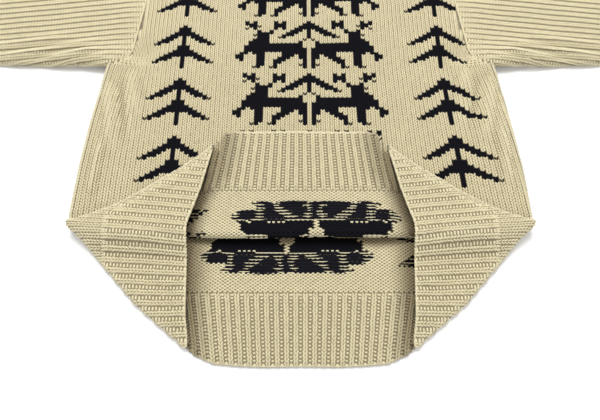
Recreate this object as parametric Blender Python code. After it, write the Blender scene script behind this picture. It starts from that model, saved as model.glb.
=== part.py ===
"""Nordic sweater, laid flat on its back with the hem opened out.

The body is a tube pressed flat. Its lowest part is opened as the bottom of a paper bag is: the
front hem is turned up over the front, the back hem stays on the table, and each side of the hem
is drawn inwards as a triangle with its outer face up. Every piece is one wall of cloth, made of
columns of points on its outer and inner faces, and ribs are raised in the outer points alone.

x runs across, y up the garment from the line between the two side corners, z up from the table.
All sizes are in metres. The right half is described, and the left half mirrors it.
"""

import math

import bmesh
import bpy

# Walls and layers, from the table up
WALL = 0.003
GAP = 0.0003
RIB_RELIEF = 0.0013
BACK_TOP = WALL
FRONT_LOW = BACK_TOP + GAP
FRONT_TOP = FRONT_LOW + WALL
FLAP_LOW = FRONT_TOP + GAP
FLAP_TOP = FLAP_LOW + WALL

# One rib is a groove and a flat crest: shares of its width, and the crest's height there
RIB_SHAPE = ((0.0, 0.0), (0.28, 1.0), (0.72, 1.0))
HEM_RIB = 0.0116
SLEEVE_RIB = 0.0096
CUFF_RIB = 0.0104

# The turned-up front
CREASE_Y = -0.016
CREASE_RISE = 0.012
CREASE_HALF = 0.262
FOLD_LIFT = 0.003
FOLD_FADE = 0.020
FLAP_SEAM_Y = 0.0447
FLAP_SEAM_HALF = 0.2045

# The back hem
BACK_SEAM_Y = -0.0842

# The triangles at the sides
SIDE_BOTTOM_Y = -0.138
SIDE_TOP_Y = 0.104
SIDE_CLEAR = 0.0006
SIDE_PUFF = 0.006
LOWER_SLOPE = 1.40
UPPER_SLOPE = 1.75
RIM_WALL = 0.0032
TUCK = 0.0050
RIB_LINE_X = 0.234

# Neck, shoulders and armholes
ARMPIT_Y = 0.230
SHOULDER_X = 0.219
SHOULDER_Y = 0.462
NECK_HALF = 0.092
NECK_Y = 0.495
NECK_DEPTH = {"front": 0.080, "back": 0.020}
BAND_WIDTH = 0.022
BAND_RISE = 0.012
BAND_DEPTH = {"front": 0.054, "back": 0.006}
BAND_RIBS = {"front": 24, "back": 18}
NECK_TURNS = (0, 15, 30, 45, 60, 75, 90)

# Sleeves: t runs from the shoulder along the folded upper edge, d down across the sleeve
SLEEVE_DROP = math.radians(6.8)
SLEEVE_LENGTH = 0.478
SLEEVE_END = 0.150
CUFF_LENGTH = 0.075
CUFF_INSET = 0.022
FOLD_RADIUS = WALL + GAP / 2
SEAM_SHIFT = 0.0006

HEM_Y = -0.168
BAND_TOP_Y = NECK_Y + BAND_RISE
MIDDLE_Y = (HEM_Y + BAND_TOP_Y) / 2

# Half widths of the body, y and half width: its folded side edge, then the armhole
BODY_EDGE = (
    (0.010, 0.2860),
    (0.085, 0.2865),
    (0.145, 0.2820),
    (0.192, 0.2780),
    (0.230, 0.2740),
    (0.246, 0.2620),
    (0.264, 0.2460),
    (0.290, 0.2400),
    (0.318, 0.2355),
    (0.359, 0.2300),
    (0.420, 0.2220),
    (0.462, 0.2190),
)
# Outline of the right triangle, y and x: the folded edges that meet at the corner
SIDE_OUTLINE = (
    (-0.138, 0.1425),
    (-0.127, 0.1560),
    (-0.098, 0.1920),
    (-0.064, 0.2240),
    (-0.019, 0.2680),
    (-0.008, 0.2810),
    (-0.003, 0.2860),
    (0.002, 0.2850),
    (0.008, 0.2750),
    (0.026, 0.2410),
    (0.042, 0.2150),
    (0.056, 0.1970),
    (0.085, 0.1500),
    (0.104, 0.1225),
)
# Hem edge of the right triangle, y and x
SIDE_HEM = (
    (-0.138, 0.1280),
    (-0.116, 0.1310),
    (-0.078, 0.1330),
    (-0.045, 0.1350),
    (-0.004, 0.1360),
    (0.047, 0.1230),
    (0.104, 0.1130),
)
# Upper edge of the front hem rib, x and y
FRONT_RIB_EDGE = (
    (0.000, 0.1307),
    (0.085, 0.1307),
    (0.098, 0.1285),
    (0.106, 0.1220),
    (0.1125, 0.1080),
    (0.1145, 0.1040),
    (0.118, 0.1000),
    (0.1425, 0.0850),
    (0.189, 0.0560),
    (0.198, 0.0495),
)
# Lower edge of the back hem rib, x and y
BACK_RIB_EDGE = (
    (0.000, -0.1680),
    (0.070, -0.1675),
    (0.098, -0.1650),
    (0.119, -0.1560),
    (0.131, -0.1465),
    (0.137, -0.1380),
    (0.1490, -0.1270),
    (0.1850, -0.0980),
    (0.1935, -0.0905),
)
# Soft folds of the front: both ends of each ridge, its half width and its height
FRONT_FOLDS = (
    ((0.262, 0.222), (0.236, 0.100), 0.016, 0.0045),
    ((0.232, 0.236), (0.204, 0.130), 0.013, 0.0025),
    ((-0.264, 0.218), (-0.242, 0.085), 0.015, 0.0040),
    ((-0.236, 0.232), (-0.214, 0.140), 0.014, 0.0030),
)


def interpolate(table, value):
    """The second column of a table at a value of its first, which rises."""
    low = table[0]
    if value <= low[0]:
        return low[1]
    for high in table[1:]:
        if value <= high[0]:
            share = (value - low[0]) / (high[0] - low[0])
            return low[1] + share * (high[1] - low[1])
        low = high
    return low[1]


def smooth(share):
    share = min(max(share, 0.0), 1.0)
    return share * share * (3 - 2 * share)


def mix(a, b, share):
    return a + (b - a) * share


def share_of_length(points, line):
    """How far along its line each point lies, from 0 to 1."""
    lengths = [0.0]
    for a, b in zip(line, line[1:]):
        lengths.append(lengths[-1] + math.dist(points[a], points[b]))
    whole = lengths[-1] or 1.0
    return [length / whole for length in lengths]


def ribbon(points, first, second):
    """Triangles between two lines of points, whatever their counts."""
    at_first = share_of_length(points, first)
    at_second = share_of_length(points, second)
    if len(first) == len(second):
        at_first = at_second = [place / len(first) for place in range(len(first))]
    faces = []
    i = j = 0
    while i < len(first) - 1 or j < len(second) - 1:
        ahead_first = at_first[i + 1] if i < len(first) - 1 else 2.0
        ahead_second = at_second[j + 1] if j < len(second) - 1 else 2.0
        if ahead_first <= ahead_second:
            faces.append((first[i], first[i + 1], second[j]))
            i += 1
        else:
            faces.append((first[i], second[j + 1], second[j]))
            j += 1
    return faces


def wall(name, outer, inner, material):
    """One closed wall of cloth between the columns of its outer and its inner face."""
    points = []
    faces = []
    numbered = []
    for columns in (outer, inner):
        lines = []
        for column in columns:
            lines.append(list(range(len(points), len(points) + len(column))))
            points.extend(column)
        for line, following in zip(lines, lines[1:]):
            faces += ribbon(points, line, following)
        numbered.append(lines)
    out, into = numbered
    faces += ribbon(points, out[0], into[0])
    faces += ribbon(points, out[-1], into[-1])
    for end in (0, -1):
        faces += ribbon(points, [line[end] for line in out], [line[end] for line in into])
    mesh = bpy.data.meshes.new(name)
    mesh.from_pydata([(x, y - MIDDLE_Y, z) for x, y, z in points], [], faces)
    shape = bmesh.new()
    shape.from_mesh(mesh)
    bmesh.ops.remove_doubles(shape, verts=shape.verts, dist=1e-6)
    bmesh.ops.dissolve_degenerate(shape, edges=shape.edges, dist=1e-6)
    bmesh.ops.triangulate(shape, faces=shape.faces)
    bmesh.ops.recalc_face_normals(shape, faces=shape.faces)
    shape.to_mesh(mesh)
    shape.free()
    mesh.materials.append(material)
    mesh.shade_smooth()
    mesh.set_sharp_from_angle(angle=math.radians(40))
    piece = bpy.data.objects.new(name, mesh)
    bpy.context.scene.collection.objects.link(piece)
    return piece


def yarn(name, color):
    """A matt wool finish."""
    material = bpy.data.materials.new(name)
    material.use_nodes = True
    shader = material.node_tree.nodes["Principled BSDF"]
    shader.inputs["Base Color"].default_value = (*color, 1.0)
    shader.inputs["Roughness"].default_value = 0.9
    shader.inputs["Metallic"].default_value = 0.0
    return material


def mirrored(columns, side):
    return [[(side * x, y, z) for x, y, z in column] for column in columns]


def fold_height(x, y):
    """Height of the front's soft folds at a point."""
    height = 0.0
    for start, end, width, crest in FRONT_FOLDS:
        run = (end[0] - start[0], end[1] - start[1])
        length = math.hypot(*run)
        along = ((x - start[0]) * run[0] + (y - start[1]) * run[1]) / length
        across = abs((x - start[0]) * run[1] - (y - start[1]) * run[0]) / length
        ends = smooth(along / 0.03) * smooth((length - along) / 0.05)
        height += crest * ends * smooth(1 - across / width)
    return height


def top_line(side, x):
    """y of the shoulder and neck line of the front or the back."""
    reach = abs(x)
    if reach >= NECK_HALF:
        share = (reach - NECK_HALF) / (SHOULDER_X - NECK_HALF)
        return mix(NECK_Y, SHOULDER_Y, share)
    return NECK_Y - NECK_DEPTH[side] * math.sqrt(1 - (reach / NECK_HALF) ** 2)


def body_shares():
    """Places of the body's columns, as shares of its half width, from left to right."""
    reaches = [NECK_HALF * math.sin(math.radians(turn)) for turn in NECK_TURNS]
    reaches += [0.115, 0.140, 0.160, 0.176, 0.190, 0.205, SHOULDER_X]
    right = [reach / SHOULDER_X for reach in reaches]
    return [-share for share in reversed(right[1:])] + right


def drawn_in(share, inset):
    """The inset of a column: only the outermost ones are drawn in from the edge."""
    return math.copysign(inset, share) if abs(share) > 0.999 else 0.0


def body_point(side, share, edge_y, edge_inset):
    """(x, y) of a body column where the garment's edge has the height edge_y."""
    x = share * interpolate(BODY_EDGE, edge_y) - drawn_in(share, edge_inset)
    if edge_y <= ARMPIT_Y:
        return x, edge_y
    up = (edge_y - ARMPIT_Y) / (SHOULDER_Y - ARMPIT_Y)
    return x, mix(ARMPIT_Y, top_line(side, share * SHOULDER_X), up)


def tucked(y):
    """Half width of a layer that lies inside the folded edge of a triangle."""
    slope = LOWER_SLOPE if y < 0 else UPPER_SLOPE
    return interpolate(SIDE_OUTLINE, y) - TUCK * slope


def back_panel(material):
    """The back above its rib, flat on the table."""
    low_rows = (BACK_SEAM_Y, -0.064, -0.040, -0.019, -0.008, -0.001)
    edge_rows = [y for y, _ in BODY_EDGE]

    def columns(z, inset):
        made = []
        for share in body_shares():
            column = [(share * tucked(y) - drawn_in(share, inset), y, z) for y in low_rows]
            column += [(*body_point("back", share, y, inset), z) for y in edge_rows]
            made.append(column)
        return made

    return wall("back_panel", columns(BACK_TOP, 0.0), columns(0.0, 0.0015), material)


def crease_y(share):
    return CREASE_Y + CREASE_RISE * share**4


def fold_lift(beyond):
    """How much the turned-up front stands off the front, beyond the crease."""
    return FOLD_LIFT * math.exp(-max(beyond, 0.0) / FOLD_FADE)


def front_panel(material):
    """The front from the shoulders to the crease, and the plain part of its turned-up end."""
    edge_rows = [y for y, _ in reversed(BODY_EDGE)]
    turns = (0, 45, 90, 135, 180)
    flap_rows = (0.12, 0.28, 0.55, 1.0)
    outer_radius = (FLAP_TOP + FOLD_LIFT - FRONT_LOW) / 2
    inner_radius = outer_radius - WALL
    middle_z = FRONT_LOW + outer_radius

    def columns(main_z, flap_z, radius, inset):
        made = []
        for share in body_shares():
            crease = crease_y(share)
            centre = crease + outer_radius
            x = share * CREASE_HALF - drawn_in(share, inset)
            column = []
            for y in edge_rows:
                px, py = body_point("front", share, y, inset)
                column.append((px, py, main_z + fold_height(px, py)))
            for turn in turns:
                angle = math.radians(270 - turn)
                z = middle_z + radius * math.sin(angle)
                column.append((x, centre + radius * math.cos(angle), z))
            for row in flap_rows:
                y = mix(centre, FLAP_SEAM_Y, row)
                x = share * mix(CREASE_HALF, FLAP_SEAM_HALF, row) - drawn_in(share, inset)
                column.append((x, y, flap_z + fold_lift(y - centre)))
            made.append(column)
        return made

    inside = columns(FRONT_LOW, FLAP_TOP, outer_radius, 0.0)
    outside = columns(FRONT_TOP, FLAP_LOW, inner_radius, 0.0015)
    return wall("front_panel", inside, outside, material)


def rib_places(start, end, pitch):
    """Places across the ribs from start to end, each with its crest's height."""
    count = max(1, round((end - start) / pitch))
    width = (end - start) / count
    places = []
    for number in range(count):
        places += [(start + (number + at) * width, height) for at, height in RIB_SHAPE]
    places.append((end, 0.0))
    return places


def hem_rib(name, edge, seam_y, low, visible, material):
    """The front or back rib of the hem, its inner face up and its ribs along y."""
    top = low + WALL
    onwards = 1 if edge[0][1] > seam_y else -1
    hidden = [x for x, _ in edge if x > visible + 0.004]
    ribs = rib_places(-visible, visible, HEM_RIB)
    left = [-x for x in reversed(hidden)]
    outer_columns = []
    for x, crest in [(x, 0.0) for x in left] + ribs + [(x, 0.0) for x in hidden]:
        end = interpolate(edge, abs(x))
        z = top + crest * RIB_RELIEF
        column = [(x, seam_y, top)]
        column += [(x, mix(seam_y, end, share), z) for share in (0.12, 0.5)]
        column.append((x, end - onwards * 0.0020, z))
        column.append((x, end, z - 0.0018))
        outer_columns.append(column)
    inner_columns = []
    for x in left + [x for x, _ in ribs[:: len(RIB_SHAPE)]] + hidden:
        end = interpolate(edge, abs(x)) - onwards * 0.0008
        inner_columns.append([(x, mix(seam_y, end, share), low) for share in (0.0, 0.5, 1.0)])
    return wall(name, outer_columns, inner_columns, material)


def side_under(x, y, share):
    """Height of a triangle's lower face: over the back, then over the turned-up front."""
    crease = crease_y(x / CREASE_HALF)
    over = FLAP_TOP + GAP + SIDE_CLEAR + fold_lift(y - crease - 0.004)
    under = BACK_TOP + GAP
    rise = smooth((y - crease + 0.032) / 0.024)
    middle = math.sin(math.pi * (y - SIDE_BOTTOM_Y) / (SIDE_TOP_Y - SIDE_BOTTOM_Y))
    return mix(under, over, rise) + SIDE_PUFF * middle * (1 - share) ** 2


def hem_side(name, side, material):
    """One triangle of the hem: the outer face up, ribs along x, and its folded edges rolled under."""
    span = SIDE_TOP_Y - SIDE_BOTTOM_Y
    places = rib_places(SIDE_BOTTOM_Y, SIDE_TOP_Y, HEM_RIB)
    ribs = (len(places) - 1) // len(RIB_SHAPE)

    def frame(y):
        slope = LOWER_SLOPE if y < 0 else UPPER_SLOPE
        foot = FLAP_LOW * smooth((y + 0.010) / 0.008)
        return interpolate(SIDE_HEM, y), interpolate(SIDE_OUTLINE, y), slope, foot

    outer = []
    for y, crest in places:
        hem, edge, slope, foot = frame(y)
        shoulder = edge - RIM_WALL * slope
        column = [(hem, y, side_under(hem, y, 0.0) + 0.0012)]
        rib_end = min(RIB_LINE_X, mix(hem, shoulder, 0.86))
        stops = [hem + 0.0014, mix(hem, rib_end, 0.4), mix(hem, rib_end, 0.8), rib_end, shoulder]
        for number, x in enumerate(stops):
            share = (x - hem) / (edge - hem)
            relief = RIB_RELIEF * crest if number < 3 else 0.0
            column.append((x, y, side_under(x, y, share) + WALL + relief))
        crown = side_under(edge, y, 1.0) + WALL
        column.append((edge - 0.0009 * slope, y, crown - 0.0009))
        column.append((edge, y, crown - 0.0031))
        column.append((edge - 0.0006 * slope, y, foot))
        outer.append(column)
    inner = []
    for number in range(2 * ribs + 1):
        y = SIDE_BOTTOM_Y + span * number / (2 * ribs)
        hem, edge, slope, foot = frame(y)
        lip = edge - RIM_WALL * slope
        column = []
        for share in (0.0, 0.3, 0.65, 1.0):
            x = mix(hem + 0.0006, lip, share)
            column.append((x, y, side_under(x, y, (x - hem) / (edge - hem))))
        column.append((lip, y, foot))
        inner.append(column)
    return wall(name, mirrored(outer, side), mirrored(inner, side), material)


def sleeve_point(t, d, z):
    """A point of the right sleeve from its place along and across it."""
    x = SHOULDER_X + t * math.cos(SLEEVE_DROP) - d * math.sin(SLEEVE_DROP)
    y = SHOULDER_Y - t * math.sin(SLEEVE_DROP) - d * math.cos(SLEEVE_DROP)
    return x, y, z


def armhole_table():
    """The armhole in the sleeve's own directions: d and t, with d rising to the armpit."""
    table = []
    for y, x in reversed(BODY_EDGE):
        if y < ARMPIT_Y:
            break
        run = (x - SHOULDER_X, y - SHOULDER_Y)
        t = run[0] * math.cos(SLEEVE_DROP) - run[1] * math.sin(SLEEVE_DROP)
        d = -run[0] * math.sin(SLEEVE_DROP) - run[1] * math.cos(SLEEVE_DROP)
        table.append((d, t + SEAM_SHIFT))
    return table


def sleeve(name, side, material):
    """A sleeve tube pressed flat: folded along its upper edge, seamed along the lower one."""
    armhole = armhole_table()
    armpit_d, armpit_t = armhole[-1]
    last_d = armpit_d - 0.004
    fold = FOLD_RADIUS
    top = 2 * fold

    def ends(d):
        start = interpolate(armhole, d)
        if d <= SLEEVE_END:
            return start, SLEEVE_LENGTH
        share = (d - SLEEVE_END) / (armpit_d - SLEEVE_END)
        return start, mix(SLEEVE_LENGTH, armpit_t, share)

    def column(d, z, stations):
        start, end = ends(d)
        return [sleeve_point(mix(start, end, share), d, z) for share in stations]

    coarse = (0.0, 0.5, 1.0)
    plain = [last_d, 0.205, 0.180, SLEEVE_END, 0.110, 0.070, 0.035]
    outer = [column(d, 0.0, coarse) for d in plain]
    for turn in (-90, -45, 0, 45):
        angle = math.radians(turn)
        d = fold - fold * math.cos(angle)
        outer.append(column(d, fold + fold * math.sin(angle), coarse))
    for d, crest in rib_places(fold, last_d, SLEEVE_RIB):
        made = column(d, top + crest * RIB_RELIEF, (0.04, 0.25, 0.5, 0.75, 0.97))
        start, end = column(d, top, (0.0, 1.0))
        outer.append([start, *made, end])
    inner = [column(d, WALL, coarse) for d in plain]
    inner.append(column(fold, fold, coarse))
    inner += [column(d, WALL + GAP, coarse) for d in reversed(plain)]
    return wall(name, mirrored(outer, side), mirrored(inner, side), material)


def cuff(name, side, material):
    """A ribbed cuff pressed flat, narrower than the sleeve that it is knitted on to."""
    fold = FOLD_RADIUS
    top = 2 * fold
    stations = (0.0, 0.14, 0.32, 0.97, 1.0)
    wide = (fold, SLEEVE_END - 0.002)

    def column(share, z, sink=0.0):
        made = []
        for station in stations:
            drawn = CUFF_INSET * smooth(station / 0.32)
            d = mix(wide[0] + drawn, wide[1] - drawn, share)
            t = SLEEVE_LENGTH + GAP + CUFF_LENGTH * station
            height = z - sink if station in (0.0, 1.0) else z
            made.append(sleeve_point(t, d, height))
        return made

    plain = (1.0, 0.75, 0.5, 0.25)
    outer = [column(share, 0.0) for share in plain]
    for turn in (-90, -45, 0, 45):
        angle = math.radians(turn)
        offset = -fold * math.cos(angle) / (wide[1] - wide[0])
        outer.append(column(offset, fold + fold * math.sin(angle)))
    for share, crest in rib_places(0.0, 1.0, CUFF_RIB / (wide[1] - wide[0] - 2 * CUFF_INSET)):
        outer.append(column(share, top + crest * RIB_RELIEF, crest * RIB_RELIEF))
    inner = [column(share, WALL) for share in plain]
    inner.append(column(0.0, fold))
    inner += [column(share, WALL + GAP) for share in reversed(plain)]
    return wall(name, mirrored(outer, side), mirrored(inner, side), material)


def neckband(name, part, low, material):
    """The ribbed band of the front or the back neck, inside the neck line. Its covered ends are plain."""
    top = low + WALL
    depth = NECK_DEPTH[part]

    sines = [(-turn, -math.sin(math.radians(turn))) for turn in reversed(NECK_TURNS)]
    sines += [(turn, math.sin(math.radians(turn))) for turn in NECK_TURNS]
    cosines = [(turn, math.cos(math.radians(turn))) for turn, _ in sines]

    def column(share, heights):
        turn = mix(-90, 90, share)
        across = interpolate(sines, turn)
        down = interpolate(cosines, turn)
        made = []
        for station, z in heights:
            half = mix(NECK_HALF - SEAM_SHIFT, NECK_HALF - BAND_WIDTH, station)
            deep = mix(depth - SEAM_SHIFT, BAND_DEPTH[part], station)
            base = NECK_Y + GAP + BAND_RISE * station
            made.append((half * across, base - deep * down, z))
        return made

    outer = []
    for share, crest in rib_places(0.0, 1.0, 1.0 / BAND_RIBS[part]):
        covered = part == "back" and abs(share - 0.5) > 0.22
        raised = top if covered else top + crest * RIB_RELIEF
        outer.append(column(share, ((0.0, top), (0.1, raised), (0.92, raised), (1.0, top - 0.001))))
    inner = []
    for number in range(BAND_RIBS[part] + 1):
        inner.append(column(number / BAND_RIBS[part], ((0.0, low), (0.98, low))))
    return wall(name, outer, inner, material)


def clear_scene():
    for leftover in list(bpy.data.objects):
        bpy.data.objects.remove(leftover, do_unlink=True)


def main():
    clear_scene()
    body_yarn = yarn("cream wool, plain knit", (0.64, 0.56, 0.37))
    rib_yarn = yarn("cream wool, rib knit", (0.56, 0.49, 0.31))
    back_panel(body_yarn)
    front_panel(body_yarn)
    hem_rib("hem_rib_back", BACK_RIB_EDGE, BACK_SEAM_Y - GAP, 0.0, 0.126, rib_yarn)
    hem_rib("hem_rib_front", FRONT_RIB_EDGE, FLAP_SEAM_Y + GAP, FLAP_LOW, 0.1125, rib_yarn)
    for ending, side in (("left", -1), ("right", 1)):
        hem_side(f"hem_side_{ending}", side, rib_yarn)
        sleeve(f"sleeve_{ending}", side, body_yarn)
        cuff(f"cuff_{ending}", side, rib_yarn)
    neckband("neckband_front", "front", FRONT_LOW, rib_yarn)
    neckband("neckband_back", "back", 0.0, rib_yarn)


main()
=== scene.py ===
"""Cream nordic sweater laid flat with its hem opened out: the knit of every piece.

Each piece is a thin cloth on its solid's form, and its stitches lie on the cloth: V-shaped knit
stitches, purl bumps, and the loose strands behind the motifs. The motifs are charted, a character
for each stitch.

Lengths are in metres. A form is written in the garment's own plan, where x runs across, y runs up
from the line between the two side corners, and z is the height over the table.
"""

import logging
import math
from dataclasses import dataclass, field
from enum import Enum

import bmesh
import bpy
import numpy as np
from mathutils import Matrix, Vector


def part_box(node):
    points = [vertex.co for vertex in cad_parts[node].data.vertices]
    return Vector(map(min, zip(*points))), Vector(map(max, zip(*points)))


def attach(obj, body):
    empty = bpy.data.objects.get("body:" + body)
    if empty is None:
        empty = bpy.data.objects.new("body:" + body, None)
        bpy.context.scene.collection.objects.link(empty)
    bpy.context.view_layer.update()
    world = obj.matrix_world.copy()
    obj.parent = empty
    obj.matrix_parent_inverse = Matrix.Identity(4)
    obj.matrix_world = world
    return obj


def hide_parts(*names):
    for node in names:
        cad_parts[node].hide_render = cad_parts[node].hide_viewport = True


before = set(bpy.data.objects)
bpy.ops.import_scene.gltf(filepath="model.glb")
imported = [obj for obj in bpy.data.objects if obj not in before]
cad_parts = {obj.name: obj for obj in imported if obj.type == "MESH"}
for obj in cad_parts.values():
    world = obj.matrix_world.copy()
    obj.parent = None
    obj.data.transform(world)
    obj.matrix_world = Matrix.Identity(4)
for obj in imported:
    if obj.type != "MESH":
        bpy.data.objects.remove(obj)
log = logging.getLogger("sweater")

Array = np.ndarray
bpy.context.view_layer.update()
HEM_Y = -0.168
MIDDLE_Y = HEM_Y - float(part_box("hem_rib_back")[0][1])


class Yarn(Enum):
    """The two yarns of the sweater."""

    CREAM = 0
    BLACK = 1


class Shape(Enum):
    """What shows of one loop of yarn."""

    KNIT = 0
    PURL = 1
    STRAND = 2
    BEND = 3


class Hold(Enum):
    """How a piece of cloth is held."""

    LAID = "laid"
    FOLDED = "folded"


@dataclass(frozen=True)
class Gauge:
    """Size of one stitch."""

    width: float = 0.00595
    height: float = 0.0040


BODY_GAUGE = Gauge()

# Outlines of the laid garment, each a table of y and half width, or of x and y
SIDE_EDGE = ((-0.020, 0.270), (0.000, 0.2830), (0.006, 0.2862), (0.014, 0.2872), (0.050, 0.2868),
             (0.085, 0.2857), (0.145, 0.2813), (0.188, 0.2768), (0.210, 0.2735), (0.238, 0.2675))
ARMHOLE = ((0.238, 0.2680), (0.2475, 0.2510), (0.256, 0.2415), (0.268, 0.2365), (0.294, 0.2340),
           (0.318, 0.2315), (0.359, 0.2275), (0.420, 0.2215), (0.462, 0.2190))
TRIANGLE = ((-0.146, 0.1330), (-0.138, 0.1425), (-0.127, 0.1560), (-0.098, 0.1920), (-0.064, 0.2240),
            (-0.019, 0.2665), (-0.009, 0.2780), (-0.004, 0.2830), (0.001, 0.2842), (0.0035, 0.2815),
            (0.006, 0.2715), (0.0143, 0.2500), (0.023, 0.2320), (0.0374, 0.2095), (0.0467, 0.1940),
            (0.060, 0.1770), (0.0735, 0.1560), (0.0942, 0.1305), (0.106, 0.1180), (0.112, 0.1135))
TRIANGLE_HEM = ((-0.138, 0.1280), (-0.116, 0.1310), (-0.078, 0.1330), (-0.045, 0.1350),
                (-0.004, 0.1360), (0.047, 0.1230), (0.104, 0.1130))
# How steeply the ribs of a side rise from the hem edge, by y
RIB_RISE = ((-0.146, 0.00), (-0.110, 0.02), (-0.060, 0.10), (-0.020, 0.15), (0.050, 0.17), (0.112, 0.20))
FRONT_HEM = ((0.000, 0.1312), (0.040, 0.1300), (0.085, 0.1307), (0.098, 0.1285), (0.106, 0.1220),
             (0.1125, 0.1120), (0.118, 0.1000), (0.1425, 0.0850), (0.160, 0.0740))
BACK_HEM = ((0.000, -0.1680), (0.040, -0.1686), (0.070, -0.1675), (0.098, -0.1650),
            (0.119, -0.1560), (0.131, -0.1465), (0.137, -0.1380), (0.150, -0.1270))

ARMPIT_Y = 0.238
SHOULDER = (0.219, 0.462)
NECK_HALF = 0.092
NECK_Y = 0.495
# Depths of the neck line in front and behind
FRONT_NECK = 0.080
BACK_NECK = 0.020
CREASE_Y = -0.016
CREASE_RISE = 0.012
CREASE_HALF = 0.262
# Upper edge of the turned-up hem, and the half width in which it hides the front
FLAP_Y = 0.1307
FLAP_HALF = 0.104
# Height of a lower layer's outer face, whose stitches reach down to the table
UNDER_Z = 0.0016
# Lowest height of cloth at a folded edge
FOLD_Z = 0.0008
# How far bunched cloth reaches from an armpit: outwards, inwards, up and down
ARMPIT_SPREAD = (0.10, 0.040, 0.055, 0.045)
# How near to a hem edge the cloth rounds down
HEM_ROUND = 0.0022
# Thickness of a knit stitch, of a purl bump and of a loose strand
KNIT_THICK = 0.0022
PURL_THICK = 0.0018
STRAND_THICK = 0.0024


def table(rows: tuple[tuple[float, float], ...], value: Array) -> Array:
    """Read the second column of a table at values of its first.

    Args:
        rows: Pairs, with the first of each rising.
        value: Where to read.

    Returns:
        The second column, linear between rows.
    """
    first, second = zip(*rows)
    return np.interp(value, first, second)


def smooth(share: Array) -> Array:
    """Ease from 0 to 1 as share does."""
    share = np.clip(share, 0.0, 1.0)
    return share * share * (3 - 2 * share)


def mix(low: Array, high: Array, share: Array) -> Array:
    """Blend from low to high."""
    return low + (high - low) * share


def crease_y(x: Array) -> Array:
    """Give y of the crease that the front is turned up along."""
    return CREASE_Y + CREASE_RISE * (np.abs(x) / CREASE_HALF) ** 4


def ripple(x: Array, y: Array, height: float = 0.0005) -> Array:
    """Give the slight unevenness of soft cloth that was patted flat.

    Args:
        x: x of each point.
        y: y of each point.
        height: About how high the unevenness is.

    Returns:
        Heights.
    """
    slow = np.sin(31 * x + 17 * y + 0.6) + np.sin(-23 * x + 41 * y + 2.1)
    quick = np.sin(83 * x - 29 * y + 1.3) * np.sin(61 * y + 0.4)
    return height * (0.5 * slow + 0.6 * quick)


def armpit_lift(out: Array, above: Array, height: float = 0.0070) -> Array:
    """Give how far the bunched cloth at an armpit stands off the table.

    Args:
        out: How far out from the armpit a point is, less than 0 on the body.
        above: How far above the underarm edge it is, less than 0 below the armpit.
        height: The lift at the armpit itself.

    Returns:
        Heights.
    """
    outwards, inwards, up, down = ARMPIT_SPREAD
    across = np.where(out > 0, smooth(1 - out / outwards), smooth(1 + out / inwards))
    return height * across * np.where(above > 0, smooth(1 - above / up), smooth(1 + above / down))


@dataclass(frozen=True)
class Fold:
    """One soft ridge, or a trough if its height is negative.

    Args:
        start: x and y of one end.
        end: x and y of the other.
        width: Half the width.
        height: Height of its crest.
    """

    start: tuple[float, float]
    end: tuple[float, float]
    width: float
    height: float

    def at(self, x: Array, y: Array) -> Array:
        """Give the fold's height at points of the plan.

        Args:
            x: x of each point.
            y: y of each point.

        Returns:
            Heights.
        """
        run = np.subtract(self.end, self.start)
        length = math.hypot(*run)
        along = ((x - self.start[0]) * run[0] + (y - self.start[1]) * run[1]) / length
        across = np.abs((x - self.start[0]) * run[1] - (y - self.start[1]) * run[0]) / length
        ends = smooth(along / (0.25 * length)) * smooth((length - along) / (0.45 * length))
        return self.height * ends * smooth(1 - across / self.width)


def fold_heights(folds: tuple[Fold, ...], x: Array, y: Array) -> Array:
    """Add up the folds at points of the plan."""
    return sum((fold.at(x, y) for fold in folds), np.zeros_like(x))


def rolled(over: Array, radius: float) -> tuple[Array, Array, Array]:
    """Lay cloth round a folded edge.

    Args:
        over: How far along the cloth a point lies past the start of its curve.
        radius: Outer radius of the fold.

    Returns:
        How far past that start it comes to lie, how far down, and the angle turned through.
    """
    turn = np.clip(over / radius, 0.0, math.pi)
    reach = np.minimum(over, 0.0) + radius * np.sin(turn) - np.maximum(over - math.pi * radius, 0.0)
    return reach, radius * (1 - np.cos(turn)), turn


def rib_relief(across: Array, pitch: float, height: float) -> Array:
    """Give the height of a one-by-one rib, whose knit columns stand at half pitches."""
    crest = 1 - np.abs(2 * np.mod(across / pitch, 1.0) - 1)
    return height * smooth(1.5 * crest - 0.15)


def covered_below(reach: Array) -> Array:
    """Give y below which the turned-up hem hides the front.

    Args:
        reach: Distance from the middle.

    Returns:
        The y at each of those distances.
    """
    first, second = zip(*TRIANGLE[8:])
    diagonal = np.interp(reach, second[::-1], first[::-1])
    return np.where(reach < FLAP_HALF, FLAP_Y, diagonal)


def hem_dip(b: Array, depth: float) -> Array:
    """Give how far cloth rounds down towards its hem edge, where b starts."""
    return depth * np.exp(-np.maximum(b, 0.0) / HEM_ROUND)


def valley(x: Array, y: Array, depth: float, width: float = 0.020) -> Array:
    """Give how far the cloth sinks beside the standing hem edges of the two sides."""
    inside = table(TRIANGLE_HEM, y) - np.abs(x)
    return depth * smooth(1 - inside / width)


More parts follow.
